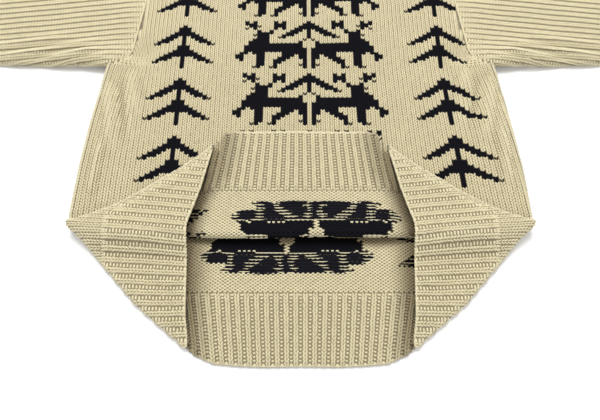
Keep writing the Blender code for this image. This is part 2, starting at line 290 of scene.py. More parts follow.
class Form:
    """The shape of a piece: where each point of the flat knitting lies."""

    outward = 1

    def place(self, a: Array, b: Array) -> Array:
        """Give points of the plan.

        Args:
            a: Distance across the columns of stitches.
            b: Distance along them.

        Returns:
            An array of x, y, z.
        """
        raise NotImplementedError

    def hollow(self, a: Array, b: Array) -> Array:
        """Give how much painted shade darkens a place's colour, 0 to 1: here, none."""
        return np.zeros(a.shape)

    def frames(self, a: Array, b: Array, step: float = 0.0008) -> tuple[Array, Array, Array, Array]:
        """Give each point with its directions across and along, and out of the cloth.

        Args:
            a: Distance across the columns of stitches.
            b: Distance along them.
            step: How far apart the places are that the directions are taken from.

        Returns:
            The points, the two directions, and the outward one, which has length 1.
        """
        across = (self.place(a + step, b) - self.place(a - step, b)) / (2 * step)
        along = (self.place(a, b + step) - self.place(a, b - step)) / (2 * step)
        out = self.outward * np.cross(across, along)
        out /= np.maximum(np.linalg.norm(out, axis=1, keepdims=True), 1e-9)
        return self.place(a, b), across, along, out


@dataclass
class FrontForm(Form):
    """The front: flat, with a round folded edge at each side."""

    top: float = 0.0082
    edge_radius: float = 0.0041
    fan: float = 0.055
    fan_y: float = 0.235
    fan_half: float = 0.2
    even_half: float = 0.2750
    widen_from: float = 0.19
    widen_over: float = 0.08
    straight_half: float = 0.200
    squeeze_from: float = 0.240
    squeeze_over: float = 0.060
    seam_dip: float = 0.0016
    seam_over: float = 0.003
    covered_dip: float = 0.0045
    covered_spare: float = 0.006
    covered_over: float = 0.012
    folds: tuple[Fold, ...] = (
        Fold((0.262, 0.228), (0.236, 0.100), 0.015, 0.0042),
        Fold((0.246, 0.226), (0.219, 0.120), 0.010, -0.0022),
        Fold((0.232, 0.240), (0.200, 0.130), 0.013, 0.0028),
        Fold((0.268, 0.150), (0.262, 0.030), 0.010, 0.0026),
        Fold((0.180, 0.300), (0.150, 0.190), 0.022, 0.0016),
        Fold((-0.264, 0.222), (-0.242, 0.085), 0.014, 0.0040),
        Fold((-0.249, 0.220), (-0.228, 0.110), 0.009, -0.0024),
        Fold((-0.236, 0.236), (-0.214, 0.140), 0.013, 0.0030),
        Fold((-0.262, 0.120), (-0.268, 0.020), 0.009, 0.0030),
        Fold((-0.200, 0.280), (-0.186, 0.170), 0.020, 0.0015),
        Fold((-0.060, 0.400), (-0.075, 0.300), 0.030, 0.0012),
        Fold((0.070, 0.380), (0.060, 0.250), 0.030, 0.0012),
    )

    def place(self, a: Array, b: Array) -> Array:
        """Give points of the front.

        Args:
            a: Distance across the columns of stitches.
            b: Distance along them.

        Returns:
            An array of x, y, z.
        """
        x = a + self.fan * smooth(a / self.fan_half) * (self.fan_y - b) * (b < self.fan_y)
        side = np.sign(x)
        widening = np.where(b < ARMPIT_Y, table(SIDE_EDGE, b) - self.even_half, 0.0)
        reach = np.abs(x) + widening * smooth((np.abs(x) - self.widen_from) / self.widen_over)
        inner = table(SIDE_EDGE, b) - self.edge_radius
        past, drop, _ = rolled(reach - inner, self.edge_radius)
        armhole = table(ARMHOLE, b)
        sewn = b > ARMPIT_Y
        squeezed = smooth((b - self.squeeze_from) / self.squeeze_over)
        squeeze = mix(armhole, ARMHOLE[0][1], squeezed) - self.straight_half
        beyond = reach - self.straight_half
        bent = self.straight_half + beyond * squeeze / (ARMHOLE[0][1] - self.straight_half)
        bent = np.where(beyond > 0, bent, reach)
        reach = np.where(sewn, np.minimum(bent, armhole), inner + past)
        drop = np.where(sewn, 0.0, drop)
        x = side * reach
        y = np.minimum(b, top_line(x, FRONT_NECK))
        z = self.top + fold_heights(self.folds, x, y) + ripple(x, y)
        z += armpit_lift(reach - ARMHOLE[0][1], y - ARMPIT_Y)
        covered = smooth((covered_below(reach) - self.covered_spare - y) / self.covered_over)
        z -= drop + self.covered_dip * covered
        z -= np.where(sewn, self.seam_dip * np.exp((reach - armhole) / self.seam_over), 0.0)
        return np.stack([x, y, np.maximum(z, 0.0)], axis=1)


def top_line(x: Array, depth: float) -> Array:
    """Give y of the shoulder line, and of a neck line of that depth.

    Args:
        x: x of each point.
        depth: How deep the neck line dips.

    Returns:
        The y at each x.
    """
    reach = np.abs(x)
    shoulder = mix(NECK_Y, SHOULDER[1], (reach - NECK_HALF) / (SHOULDER[0] - NECK_HALF))
    dip = np.sqrt(np.clip(1 - (reach / NECK_HALF) ** 2, 0, 1))
    return np.where(reach < NECK_HALF, NECK_Y - depth * dip, shoulder)


@dataclass
class HemForm(Form):
    """A panel of the body whose b starts at its hem edge: drawn in there, and ribbed if it has relief."""

    depth: float = 0.0860
    drawn: float = 0.11
    dip: float = 0.0016
    pitch: float = 0.0
    relief: float = 0.0
    seam_fade: float = 0.008
    hem_fade: float = 0.007
    hem_share: float = 0.3

    def drawn_in(self, a: Array, b: Array) -> Array:
        """Give x of places across the panel, which is narrowest at its hem edge."""
        return a * (1 - self.drawn * (1 - np.clip(b / self.depth, 0.0, 1.0)))

    def ribs(self, a: Array, b: Array) -> Array:
        """Give the height of the ribs, which fade at the hem edge and at the seam.

        Args:
            a: Distance across the columns of stitches.
            b: Distance along them.

        Returns:
            Heights.
        """
        if not self.relief:
            return np.zeros(a.shape)
        ribs = rib_relief(a, self.pitch, self.relief) * smooth((self.depth - b) / self.seam_fade)
        return ribs * smooth(self.hem_share + b / self.hem_fade)


@dataclass
class FlapForm(HemForm):
    """The turned-up front, inner face up: b runs down from its hem, then round the crease."""

    outward = -1
    top: float = 0.0126
    lift: float = 0.0055
    fade: float = 0.030
    low: float = 0.0088
    seam: float = 0.0447
    wander: float = 0.0012
    valley_depth: float = 0.0086
    valley_width: float = 0.019
    lowest: float = 0.0040
    shade_widths: tuple[float, float] = (0.048, 0.026)
    shade_from: float = 0.06
    shade_over: float = 0.04
    folds: tuple[Fold, ...] = (
        Fold((-0.118, 0.060), (-0.108, 0.124), 0.012, 0.0030),
        Fold((-0.128, 0.010), (-0.112, 0.050), 0.012, -0.0020),
        Fold((0.121, 0.048), (0.104, 0.116), 0.012, 0.0026),
        Fold((0.040, 0.000), (0.030, 0.060), 0.030, 0.0014),
        Fold((-0.050, 0.004), (-0.060, 0.055), 0.024, 0.0016),
    )

    def place(self, a: Array, b: Array) -> Array:
        """Give points of the turned-up front.

        Args:
            a: Distance across the columns of stitches.
            b: Distance along them.

        Returns:
            An array of x, y, z.
        """
        share = b / self.depth
        x = self.drawn_in(a, b)
        crease = crease_y(x) + self.wander * np.sin(23 * x + 0.7)
        radius = (self.top + self.lift - self.low) / 2
        hem = table(FRONT_HEM, np.abs(x))
        flat = np.where(share < 1, mix(hem, self.seam, share), self.seam - b + self.depth)
        centre = crease + radius
        past, drop, turn = rolled(centre - flat, radius)
        y = centre - past
        rise = self.lift * np.exp(-np.maximum(flat - centre, 0.0) / self.fade)
        sunk = valley(x, y, self.valley_depth, self.valley_width) * (1 + np.cos(turn)) / 2
        z = self.top + rise - drop
        z += fold_heights(self.folds, x, y) + ripple(x, y) - sunk
        z += self.ribs(a, b)
        z -= hem_dip(b, self.dip)
        return np.stack([x, y, np.maximum(z, self.lowest)], axis=1)

    def hollow(self, a: Array, b: Array) -> Array:
        """Give the painted shade that darkens the colour beside the standing hem edges.

        Args:
            a: Distance across the columns of stitches.
            b: Distance along them.

        Returns:
            0 far from them, 1 beside them.
        """
        x, y, _ = self.place(a, b).T
        width = mix(*self.shade_widths, smooth((b - self.shade_from) / self.shade_over))
        return valley(x, y, 1.0, width)


@dataclass
class BackForm(HemForm):
    """The back, inner face up: b runs up from its hem."""

    depth: float = 0.0838
    dip: float = 0.0018
    top: float = 0.0036
    seam: float = -0.0842
    uneven: float = 0.6
    valley_depth: float = 0.0018
    shade_width: float = 0.032
    slot_shade: float = 0.012
    shade_top: float = 0.02
    corner_y: float = -0.004
    hem_inset: float = 0.005
    side_inset: float = 0.004
    folds: tuple[Fold, ...] = (
        Fold((-0.110, -0.160), (-0.120, -0.070), 0.014, 0.0022),
        Fold((-0.090, -0.080), (-0.104, -0.010), 0.018, 0.0018),
        Fold((0.104, -0.150), (0.110, -0.060), 0.014, 0.0020),
        Fold((0.020, -0.090), (0.030, -0.020), 0.030, 0.0012),
    )

    def place(self, a: Array, b: Array) -> Array:
        """Give points of the back.

        Args:
            a: Distance across the columns of stitches.
            b: Distance along them.

        Returns:
            An array of x, y, z.
        """
        share = b / self.depth
        x = self.drawn_in(a, b)
        hem = table(BACK_HEM, np.abs(x))
        y = np.where(share < 1, mix(hem, self.seam, share), self.seam + b - self.depth)
        x = np.sign(x) * np.minimum(np.abs(x), self.half(y))
        y = np.minimum(y, top_line(x, BACK_NECK))
        z = self.top + fold_heights(self.folds, x, y) + self.uneven * ripple(x, y)
        z += self.ribs(a, b)
        z -= valley(x, y, self.valley_depth)
        z -= hem_dip(b, self.dip)
        return np.stack([x, y, z], axis=1)

    def hollow(self, a: Array, b: Array) -> Array:
        """Give the painted shade that darkens the colour beside the standing hem edges, and the painted
        shadow under the crease.

        Args:
            a: Distance across the columns of stitches.
            b: Distance along them.

        Returns:
            0 far from them, 1 beside or under them.
        """
        x, y, _ = self.place(a, b).T
        under = smooth(1 - (crease_y(x) + self.corner_y - y) / self.slot_shade)
        shown = smooth((self.shade_top - y) / self.shade_top)
        return np.maximum(valley(x, y, 1.0, self.shade_width), under) * shown

    def half(self, y: Array) -> Array:
        """Give how wide the back is: as far as its folded edges and its armholes.

        Args:
            y: y of each point.

        Returns:
            Its half width there.
        """
        hem = table(TRIANGLE, y) - self.hem_inset
        side = table(SIDE_EDGE, y) - self.side_inset
        return np.where(y < self.corner_y, hem, np.where(y < ARMPIT_Y, side, table(ARMHOLE, y)))


@dataclass
class BackOutside(BackForm):
    """The outer face of the back, which lies on the table."""

    outward = -1
    wall: float = 0.0022

    def place(self, a: Array, b: Array) -> Array:
        """Give points of the back's outer face.

        Args:
            a: Distance across the columns of stitches.
            b: Distance along them.

        Returns:
            An array of x, y, z.
        """
        points = super().place(a, b)
        points[:, 2] = np.maximum(points[:, 2] - self.wall, UNDER_Z)
        return points


@dataclass
class TriangleForm(Form):
    """A side of the hem: a runs up the garment across the ribs, b from the hem edge outwards."""

    side: int
    pitch: float
    outward: int = field(init=False)
    relief: float = 0.0013
    rib_line: float = 0.234
    low_top: float = 0.0084
    high_top: float = 0.0166
    lift: float = 0.0055
    lift_spare: float = 0.004
    lift_over: float = 0.026
    rise_over: float = 0.034
    puff: float = 0.0080
    puff_over: float = 0.045
    waist_y: float = -0.018
    arch_from: float = -0.140
    arch_over: float = 0.244
    bow: float = 2.4
    low_radius: float = 0.0042
    high_radius: float = 0.0038
    tip_blend: float = 0.012
    rib_fade: float = 0.008
    edge_fade: float = 0.010
    edge_spare: float = 0.006
    last_turn: float = 2.6
    dip: float = 0.0016
    lowest: float = 0.0010
    highest: float = 0.0305
    folds: tuple[Fold, ...] = (
        Fold((0.150, 0.062), (0.215, 0.030), 0.012, 0.0016),
        Fold((0.150, -0.020), (0.250, -0.010), 0.014, 0.0018),
        Fold((0.140, -0.085), (0.200, -0.062), 0.012, -0.0014),
    )

    def __post_init__(self) -> None:
        """Note which way the cloth faces."""
        self.outward = -self.side

    def height(self, x: Array, y: Array) -> Array:
        """Give the height of the triangle before its edges turn under.

        Args:
            x: x of each point.
            y: y of each point.

        Returns:
            Heights.
        """
        crease = crease_y(x)
        beyond = np.maximum(y - crease - self.lift_spare, 0.0)
        high = self.high_top + self.lift * np.exp(-beyond / self.lift_over)
        top = mix(self.low_top, high, smooth((y - crease + self.rise_over) / self.rise_over))
        hem, edge = table(TRIANGLE_HEM, y), table(TRIANGLE, y)
        share = np.clip((x - hem) / (edge - hem), 0.0, 1.0)
        arch = np.sin(math.pi * np.clip((y - self.arch_from) / self.arch_over, 0.0, 1.0))
        middle = np.where(y < self.waist_y, smooth((y - TRIANGLE[0][0]) / self.puff_over), arch)
        return top + self.puff * middle * (1 - share) ** 2

    def plan(self, a: Array, b: Array) -> tuple[Array, Array]:
        """Give x and y on the unturned cloth, whose ribs bow up as they leave the hem."""
        return table(TRIANGLE_HEM, a) + b, a + table(RIB_RISE, a) * b * (1 - self.bow * b)

    @staticmethod
    def nearest(x: Array, y: Array) -> tuple[Array, Array]:
        """Find the nearest place on the triangle's outline.

        Args:
            x: x of each point.
            y: y of each point.

        Returns:
            The places, and how far past the outline each point is, less than 0 inside.
        """
        rows = np.array(TRIANGLE)[:, ::-1]
        spot = np.stack([x, y], axis=1)
        best = np.full(len(x), 1e9)
        place = np.zeros_like(spot)
        for first, second in zip(rows[:-1], rows[1:]):
            run = second - first
            share = np.clip((spot - first) @ run / (run @ run), 0.0, 1.0)
            point = first + share[:, None] * run
            distance = np.linalg.norm(spot - point, axis=1)
            closer = distance < best
            best = np.where(closer, distance, best)
            place[closer] = point[closer]
        outside = x > np.interp(y, rows[:, 1], rows[:, 0])
        return place, np.where(outside, best, -best)

    def place(self, a: Array, b: Array) -> Array:
        """Give points of the triangle.

        Args:
            a: Distance across the columns of stitches.
            b: Distance along them.

        Returns:
            An array of x, y, z.
        """
        x, y = self.plan(a, b)
        edge, past = self.nearest(x, y)
        upper = smooth((edge[:, 1] + self.tip_blend) / (2 * self.tip_blend))
        radius = mix(self.low_radius, self.high_radius, upper)
        turn = np.clip((past + radius) / radius, 0.0, self.last_turn)
        spot = np.stack([x, y], axis=1)
        away = (spot - edge) / np.where(np.abs(past) < 1e-6, 1.0, past)[:, None]
        spot = np.where((turn > 0)[:, None], edge + away * (radius * (np.sin(turn) - 1))[:, None], spot)
        ribbed = smooth((self.rib_line + self.edge_spare - x) / self.rib_fade)
        ribbed = ribbed * smooth((-past - self.edge_spare * upper) / self.edge_fade)
        z = self.height(x, y) + ripple(x, y) + fold_heights(self.folds, x, y)
        z += rib_relief(a, self.pitch, self.relief) * ribbed
        z = np.minimum(z, self.highest)
        z -= radius * (1 - np.cos(turn))
        z -= hem_dip(b, self.dip)
        return np.stack([self.side * spot[:, 0], spot[:, 1], np.maximum(z, self.lowest)], axis=1)


@dataclass
class FlatTube(Form):
    """A tube pressed flat beside the body: a runs round it from its upper fold, b out from the shoulder."""

    side: int
    outward: int = field(init=False)
    top: float = 0.0082
    radius: float = 0.0041
    slope: float = math.radians(6.8)

    def __post_init__(self) -> None:
        """Note which way the cloth faces."""
        self.outward = self.side

    def pressed(self, a: Array, width: Array | float) -> tuple[Array, Array, Array]:
        """Lay places round the two folds.

        Args:
            a: How far round the tube each place is.
            width: How wide the pressed tube is there.

        Returns:
            How far down each place comes to lie, its drop, and whether it is underneath.
        """
        low_edge = width - self.radius
        low_past, low_drop, low_turn = rolled(a - low_edge, self.radius)
        high_past, high_drop, high_turn = rolled(self.radius - a, self.radius)
        down = np.where(a < self.radius, self.radius - high_past, a)
        down = np.where(a > low_edge, low_edge + low_past, down)
        down = np.maximum(down, np.where(a > low_edge, self.radius, 0.0))
        return down, low_drop + high_drop, (low_turn >= math.pi) | (high_turn >= math.pi)

    def laid(self, out: Array, down: Array, z: Array) -> Array:
        """Turn distances out from the shoulder and down from the upper fold into points.

        Args:
            out: Distances out.
            down: Distances down.
            z: Heights.

        Returns:
            An array of x, y, z.
        """
        x = SHOULDER[0] + out * math.cos(self.slope) - down * math.sin(self.slope)
        y = SHOULDER[1] - out * math.sin(self.slope) - down * math.cos(self.slope)
        return np.stack([self.side * x, y, z], axis=1)


@dataclass
class SleeveForm(FlatTube):
    """A sleeve pressed flat, whose ribs run along it."""

    pitch: float = 0.0096
    relief: float = 0.0017
    rib_fade: float = 0.040
    rib_share: float = 0.2
    seam_dip: float = 0.0016
    seam_over: float = 0.003
    length: float = 0.478
    end: float = 0.150
    folds: tuple[Fold, ...] = (
        Fold((0.074, 0.202), (0.150, 0.207), 0.006, 0.0024),
        Fold((0.076, 0.188), (0.200, 0.199), 0.008, 0.0034),
        Fold((0.080, 0.172), (0.270, 0.188), 0.009, 0.0030),
        Fold((0.110, 0.156), (0.330, 0.174), 0.012, 0.0024),
        Fold((0.150, 0.060), (0.300, 0.050), 0.022, 0.0014),
    )
    armhole: tuple[tuple[float, float], ...] = field(init=False)

    def __post_init__(self) -> None:
        """Work out the armhole in the sleeve's own directions."""
        super().__post_init__()
        across, along = math.sin(self.slope), math.cos(self.slope)
        rows = []
        for y, x in reversed(ARMHOLE):
            run = (x - SHOULDER[0], y - SHOULDER[1])
            rows.append((-run[0] * across - run[1] * along, run[0] * along - run[1] * across))
        self.armhole = tuple(rows)

    def start(self, down: Array) -> Array:
        """Give how far out the armhole seam lies."""
        return table(self.armhole, down)

    def stop(self, b: Array) -> Array:
        """Give how far down the underarm seam lies."""
        low, high = self.armhole[-1][::-1], (self.length, self.end)
        return mix(low[1], high[1], (b - low[0]) / (high[0] - low[0]))

    def last(self, b: Array) -> Array:
        """Give the last place round the sleeve, where its lower layer comes back to the fold."""
        return 2 * (self.stop(b) - self.radius) + (math.pi - 1) * self.radius

    def round_folds(self, a: Array, b: Array) -> tuple[Array, Array, Array]:
        """Give how far down each place comes to lie, its drop, and whether it is underneath."""
        return self.pressed(a, self.stop(b))

    def place(self, a: Array, b: Array) -> Array:
        """Give points of the sleeve.

        Args:
            a: Distance across the columns of stitches.
            b: Distance along them.

        Returns:
            An array of x, y, z.
        """
        down, _, _ = self.round_folds(a, b)
        b = np.maximum(b, self.start(down))
        down, drop, turned = self.round_folds(a, b)
        z = self.top + fold_heights(self.folds, b, down) + ripple(b + 0.3 * self.side, down)
        past = b - self.start(down)
        z += rib_relief(a, self.pitch, self.relief) * smooth(self.rib_share + past / self.rib_fade)
        z -= self.seam_dip * np.exp(-past / self.seam_over)
        z = np.where(turned, UNDER_Z, np.maximum(z - drop, FOLD_Z))
        z += armpit_lift(b - self.armhole[-1][1], self.stop(b) - down)
        return self.laid(b, down, z)


@dataclass
class CuffForm(FlatTube):
    """A cuff pressed flat, whose b starts at the sleeve's end."""

    pitch: float = 0.0104
    relief: float = 0.0014
    width: float = 0.104
    inset: float = 0.022
    inset_over: float = 0.026
    lowered: float = 0.001
    seam_dip: float = 0.0012
    seam_over: float = 0.003
    start: float = 0.478

    def place(self, a: Array, b: Array) -> Array:
        """Give points of the cuff.

        Args:
            a: Distance across the columns of stitches.
            b: Distance along them.

        Returns:
            An array of x, y, z.
        """
        drawn = self.inset * smooth(b / self.inset_over)
        whole = self.width + 2 * self.inset
        across, drop, turned = self.pressed(a, self.width)
        down = self.lowered + drawn + across * (whole - 2 * drawn) / self.width
        z = self.top + rib_relief(a, self.pitch, self.relief) + ripple(b, across)
        z -= self.seam_dip * np.exp(-np.abs(b) / self.seam_over)
        z = np.where(turned, UNDER_Z, np.maximum(z - drop, FOLD_Z))
        return self.laid(self.start + b, down, z)


@dataclass
class BandForm(Form):
    """Half of the neckband: a runs round the neck, b across the band from its seam."""

    seam_depth: float
    edge_depth: float
    top: float
    pitch: float
    relief: float = 0.0012
    length: float = 0.26
    width: float = 0.025
    inset: float = 0.022
    rise: float = 0.012
    edge_dip: float = 0.0014
    edge_over: float = 0.002

    def place(self, a: Array, b: Array) -> Array:
        """Give points of the band.

        Args:
            a: Distance across the columns of stitches.
            b: Distance along them.

        Returns:
            An array of x, y, z.
        """
        angle = math.pi * (a / self.length - 0.5)
        share = b / self.width
        half = NECK_HALF - self.inset * share
        depth = mix(self.seam_depth, self.edge_depth, share)
        z = self.top + rib_relief(a, self.pitch, self.relief)
        seam, edge = np.abs(b), np.abs(self.width - b)
        z -= self.edge_dip * (np.exp(-seam / self.edge_over) + np.exp(-edge / self.edge_over))
        y = NECK_Y + self.rise * share - depth * np.cos(angle)
        return np.stack([half * np.sin(angle), y, z], axis=1)


FIR = (
    ".......X.......",
    "......XXX......",
    "......XXX......",
    ".....XXXXX.....",
    "....XXXXXXX....",
    "...XXX.X.XXX...",
    "..XXX..X..XXX..",
    ".XXX...X...XXX.",
    "XX.....X.....XX",
    "......XXX......",
    "......XXX......",
    ".....XXXXX.....",
    "....XXXXXXX....",
    "...XXXXXXXXX...",
    "..XXX..X..XXX..",
    ".XXX...X...XXX.",
    "XX.....X.....XX",
    ".......X.......",
    ".......X.......",
)
# Left half of two reindeer back to back with a small fir between; the last column is the middle
REINDEER = (
    "..X.X....X.X.....X",
    "..XXX....XXX....XX",
    "...XXX...XXX...XXX",
    "..X.X....X.X..XXXX",
    ".....X..X....XXX.X",
    ".....XXXX...XXX..X",
    "....XXXX...XXX...X",
    ".....XXX..XX.....X",
    "....XXXX........X.",
    "...XXXXX.......X..",
    "...XXXXXXXXXXXXX..",
    "..XXXXXXXXXXXXXX..",
    "..XXXXXXXXXXXXXXX.",
    "..XXXXXXXXXXXXXXX.",
    ".XX.XXX....XXXXXX.",
    "XX...XX....XXX.XX.",
    "XX...XX...XXX..XX.",
    ".X...XX..XXX....X.",
    ".....XX..XX.....X.",
    ".....XX..X.....XX.",
    "....XX..XX......X.",
)


@dataclass
class Pattern:
    """The motifs on one panel.

    Args:
        middle: Column of the reindeer's middle, counted from the panel's own.
        base: Row of the lowest reindeer's feet.
        bands: How many rows of motifs there are.
        facing: -1 where the panel is seen from behind, so that its chart is mirrored.
    """

    middle: int
    base: int
    bands: int
    facing: int = 1
    period: int = 23
    fir_columns: tuple[int, int] = (-30, 31)

    def __post_init__(self) -> None:
        """Turn the charts into arrays, lowest row first."""
        whole = [row + row[-2::-1] for row in REINDEER]
        self._deer = np.array([[mark == "X" for mark in row] for row in reversed(whole)])
        self._fir = np.array([[mark == "X" for mark in row] for row in reversed(FIR)])

    def black(self, columns: Array, rows: Array) -> Array:
        """Say which stitches are black.

        Args:
            columns: Column of each stitch, from the panel's middle.
            rows: Row of each stitch.

        Returns:
            True for a black one.
        """
        across = (columns - self.middle) * self.facing
        band = np.floor_divide(rows - self.base, self.period)
        up = np.mod(rows - self.base, self.period)
        inside = (band >= 0) & (band < self.bands)
        found = self._look(self._deer, across, up)
        for centre in self.fir_columns:
            found |= self._look(self._fir, across - centre, up)
        return found & inside

    @staticmethod
    def _look(chart: Array, across: Array, up: Array) -> Array:
        """Read a chart whose middle column is 0.

        Args:
            chart: The chart.
            across: Columns, counted from its middle.
            up: Rows, counted from its lowest.

        Returns:
            True where the chart has a mark.
        """
        column = across + chart.shape[1] // 2
        fits = (column >= 0) & (column < chart.shape[1]) & (up >= 0) & (up < chart.shape[0])
        return fits & chart[np.clip(up, 0, chart.shape[0] - 1), np.clip(column, 0, chart.shape[1] - 1)]

    def crossed_by_black(self, columns: Array, rows: Array) -> Array:
        """Say where black yarn shows on the inner face: in a motif and between its outermost stitches.

        Args:
            columns: Column of each stitch.
            rows: Row of each stitch.

        Returns:
            True where it shows.
        """
        found = self.black(columns, rows)
        for low, high in self.spans():
            across = np.arange(low, high + 1)
            for row in np.unique(rows):
                marks = across[self.black(across, np.full_like(across, row))]
                if not len(marks) or 5 < (row - self.base) % self.period < 11:
                    continue
                gap = (np.abs(columns - self.middle) < 4) & self.in_body(row)
                found |= (rows == row) & (columns >= marks[0]) & (columns <= marks[-1]) & ~gap
        return found

    def in_body(self, row: int) -> bool:
        """Say whether a row crosses the reindeer's bodies, between which no strand runs."""
        return 5 < (row - self.base) % self.period < 13

    def spans(self) -> list[tuple[int, int]]:
        """Give the first and last column of each motif, for the strands behind it.

        Returns:
            A pair for each motif.
        """
        deer, fir = self._deer.shape[1] // 2, self._fir.shape[1] // 2
        ends = [(-deer, deer)]
        ends += [(c - fir, c + fir) for c in self.fir_columns]
        ends = [(low, high) if self.facing > 0 else (-high, -low) for low, high in ends]
        return [(self.middle + low, self.middle + high) for low, high in ends]


@dataclass
class Stitches:
    """Loops of yarn to be set on a cloth: where each lies, how it is turned, and its size."""

    places: list[Array] = field(default_factory=list)
    turns: list[Array] = field(default_factory=list)
    sizes: list[Array] = field(default_factory=list)
    shapes: list[Array] = field(default_factory=list)
    yarns: list[Array] = field(default_factory=list)
    # Painted shade of each loop, 0 to 1, which darkens its colour
    painted_shades: list[Array] = field(default_factory=list)
    stretch_limits: tuple[float, float] = (0.6, 1.25)
    uneven_turn: float = 0.05
    uneven_width: float = 0.07
    uneven_height: float = 0.06
    uneven_place: float = 0.05
    leg_reach: float = 0.9
    side_reach: float = 0.45

    def add(self, form: Form, a: Array, b: Array, size: tuple[Array, Array, float], shape: Shape,
            black: Array, sink: float = 0.0) -> None:
        """Set loops on a form.

        Args:
            form: The cloth's form.
            a: Where each loop's middle lies across the columns.
            b: Where it lies along them.
            size: Width, height and thickness of a loop.
            shape: Its shape.
            black: True where its yarn is black.
            sink: How deep its foot lies in the cloth.
        """
        if not len(a):
            return
        place, across, along, out = form.frames(a, b)
        stretch = np.stack([np.linalg.norm(across, axis=1), np.linalg.norm(along, axis=1)], axis=1)
        stretch = np.clip(stretch, *self.stretch_limits)
        along = along - out * (along * out).sum(1, keepdims=True)
        along /= np.maximum(np.linalg.norm(along, axis=1, keepdims=True), 1e-9)
        across = np.cross(along, out)
        turn = np.stack([across, along, out], axis=2)
        pitch = np.arcsin(np.clip(-turn[:, 2, 0], -1, 1))
        roll = np.arctan2(turn[:, 2, 1], turn[:, 2, 2])
        yaw = np.arctan2(turn[:, 1, 0], turn[:, 0, 0])
        width = np.broadcast_to(size[0], a.shape) * stretch[:, 0]
        height = np.broadcast_to(size[1], a.shape) * stretch[:, 1]
        count = len(a)
        rng = np.random.default_rng(count)
        uneven = rng.uniform(-1, 1, (4, count))
        yaw = yaw + self.uneven_turn * uneven[0]
        width = width * (1 + self.uneven_width * uneven[1])
        height = height * (1 + self.uneven_height * uneven[2])
        place = place + across * (self.uneven_place * size[1] * uneven[3])[:, None] - out * sink
        below = self.leg_reach * np.abs(along[:, 2]) * height
        below += self.side_reach * np.abs(across[:, 2]) * width
        place[:, 2] = np.maximum(place[:, 2], np.maximum(-out[:, 2], 0.0) * size[2] + below)
        self.places.append(place)
        self.turns.append(np.stack([roll, pitch, yaw], axis=1))
        self.sizes.append(np.stack([width, height, np.full(a.shape, size[2])], axis=1))
        self.shapes.append(np.full(a.shape, shape.value, int))
        self.yarns.append(np.broadcast_to(black, a.shape).astype(int))
        self.painted_shades.append(form.hollow(a, b))


@dataclass
class Strip:
    """A tapered run of yarn through stations: x, y, half width and height. Its ends are points."""

    stations: tuple[tuple[float, float, float, float], ...]

    def mesh(self) -> tuple[list[tuple[float, float, float]], list[tuple[int, ...]]]:
        """Give its points and faces, open underneath.

        Returns:
            The points, and the faces as tuples of their numbers.
        """
        places = np.array(self.stations)
        points = [(places[0][0], places[0][1], 0.0)]
        for number in range(1, len(places) - 1):
            x, y, half, height = places[number]
            run = places[number + 1][:2] - places[number - 1][:2]
            side = np.array([-run[1], run[0]]) / np.hypot(*run) * half
            points += [(x + side[0], y + side[1], 0.0), (x, y, height), (x - side[0], y - side[1], 0.0)]
        points.append((places[-1][0], places[-1][1], 0.0))
        last = len(points) - 1
        faces = [(0, 2, 1), (0, 3, 2)]
        for base in range(1, last - 3, 3):
            faces += [(base, base + 1, base + 4, base + 3), (base + 1, base + 2, base + 5, base + 4)]
        faces += [(last - 3, last - 2, last), (last - 2, last - 1, last)]
        return points, faces


class Loop:
    """The meshes of one stitch of each shape, a cell wide and a cell high."""

    LEG = ((0.02, -0.56, 0.0, 0.0), (0.15, -0.14, 0.165, 1.0), (0.29, 0.42, 0.185, 0.88),
           (0.40, 0.92, 0.0, 0.0))
    BEND = ((0.02, -0.56, 0.0, 0.0), (0.24, 0.14, 0.22, 1.0), (0.40, 0.92, 0.0, 0.0))
    BUMP = ((-0.62, -0.30, 0.0, 0.0), (-0.25, 0.10, 0.34, 1.0), (0.25, 0.10, 0.34, 1.0),
            (0.62, -0.30, 0.0, 0.0))
    STRAND = ((-0.5, 0.0, 0.0, 0.0), (-0.36, -0.06, 0.40, 0.9), (0.0, -0.14, 0.44, 1.0),
              (0.36, -0.06, 0.40, 0.9), (0.5, 0.0, 0.0, 0.0))

    def build(self, shape: Shape) -> bpy.types.Object:
        """Make the object of one shape.

        Args:
            shape: The shape.

        Returns:
            An object that isn't linked to the scene.
        """
        strips = {
            Shape.KNIT: (self.LEG, self.mirrored(self.LEG)),
            Shape.BEND: (self.BEND, self.mirrored(self.BEND)),
            Shape.PURL: (self.BUMP,),
            Shape.STRAND: (self.STRAND,),
        }[shape]
        points, faces = [], []
        for stations in strips:
            made, drawn = Strip(stations).mesh()
            faces += [tuple(corner + len(points) for corner in face) for face in drawn]
            points += made
        mesh = bpy.data.meshes.new(f"loop_{shape.name.lower()}")
        mesh.from_pydata(points, [], faces)
        # Each point's height in its loop, which the material uses to paint shade on the loop's low parts
        crest = mesh.attributes.new("crest", "FLOAT", "POINT")
        crest.data.foreach_set("value", [point[2] for point in points])
        face_up(mesh)
        mesh.shade_smooth()
        return bpy.data.objects.new(mesh.name, mesh)

    @staticmethod
    def mirrored(stations: tuple) -> tuple:
        """Mirror a leg, keeping its direction along the yarn."""
        return tuple((-x, y, half, height) for x, y, half, height in reversed(stations))


def feed(tree: bpy.types.NodeTree, made: bpy.types.Node, inputs: dict) -> None:
    """Link or set some of a node's inputs.

    Args:
        tree: The tree that it is in.
        made: The node.
        inputs: For each input, by name or number, the socket to link or the value to set.
    """
    for key, value in inputs.items():
        if isinstance(value, bpy.types.NodeSocket):
            tree.links.new(value, made.inputs[key])
        else:
            made.inputs[key].default_value = value


def node(tree: bpy.types.NodeTree, kind: str, inputs: dict | None = None,
         **settings: object) -> bpy.types.Node:
    """Add a node to a tree.

    Args:
        tree: The tree.
        kind: The node's type.
        inputs: What its inputs are linked or set to.
        settings: Its own settings.

    Returns:
        The node.
    """
    made = tree.nodes.new(kind)
    for name, value in settings.items():
        setattr(made, name, value)
    feed(tree, made, inputs or {})
    return made


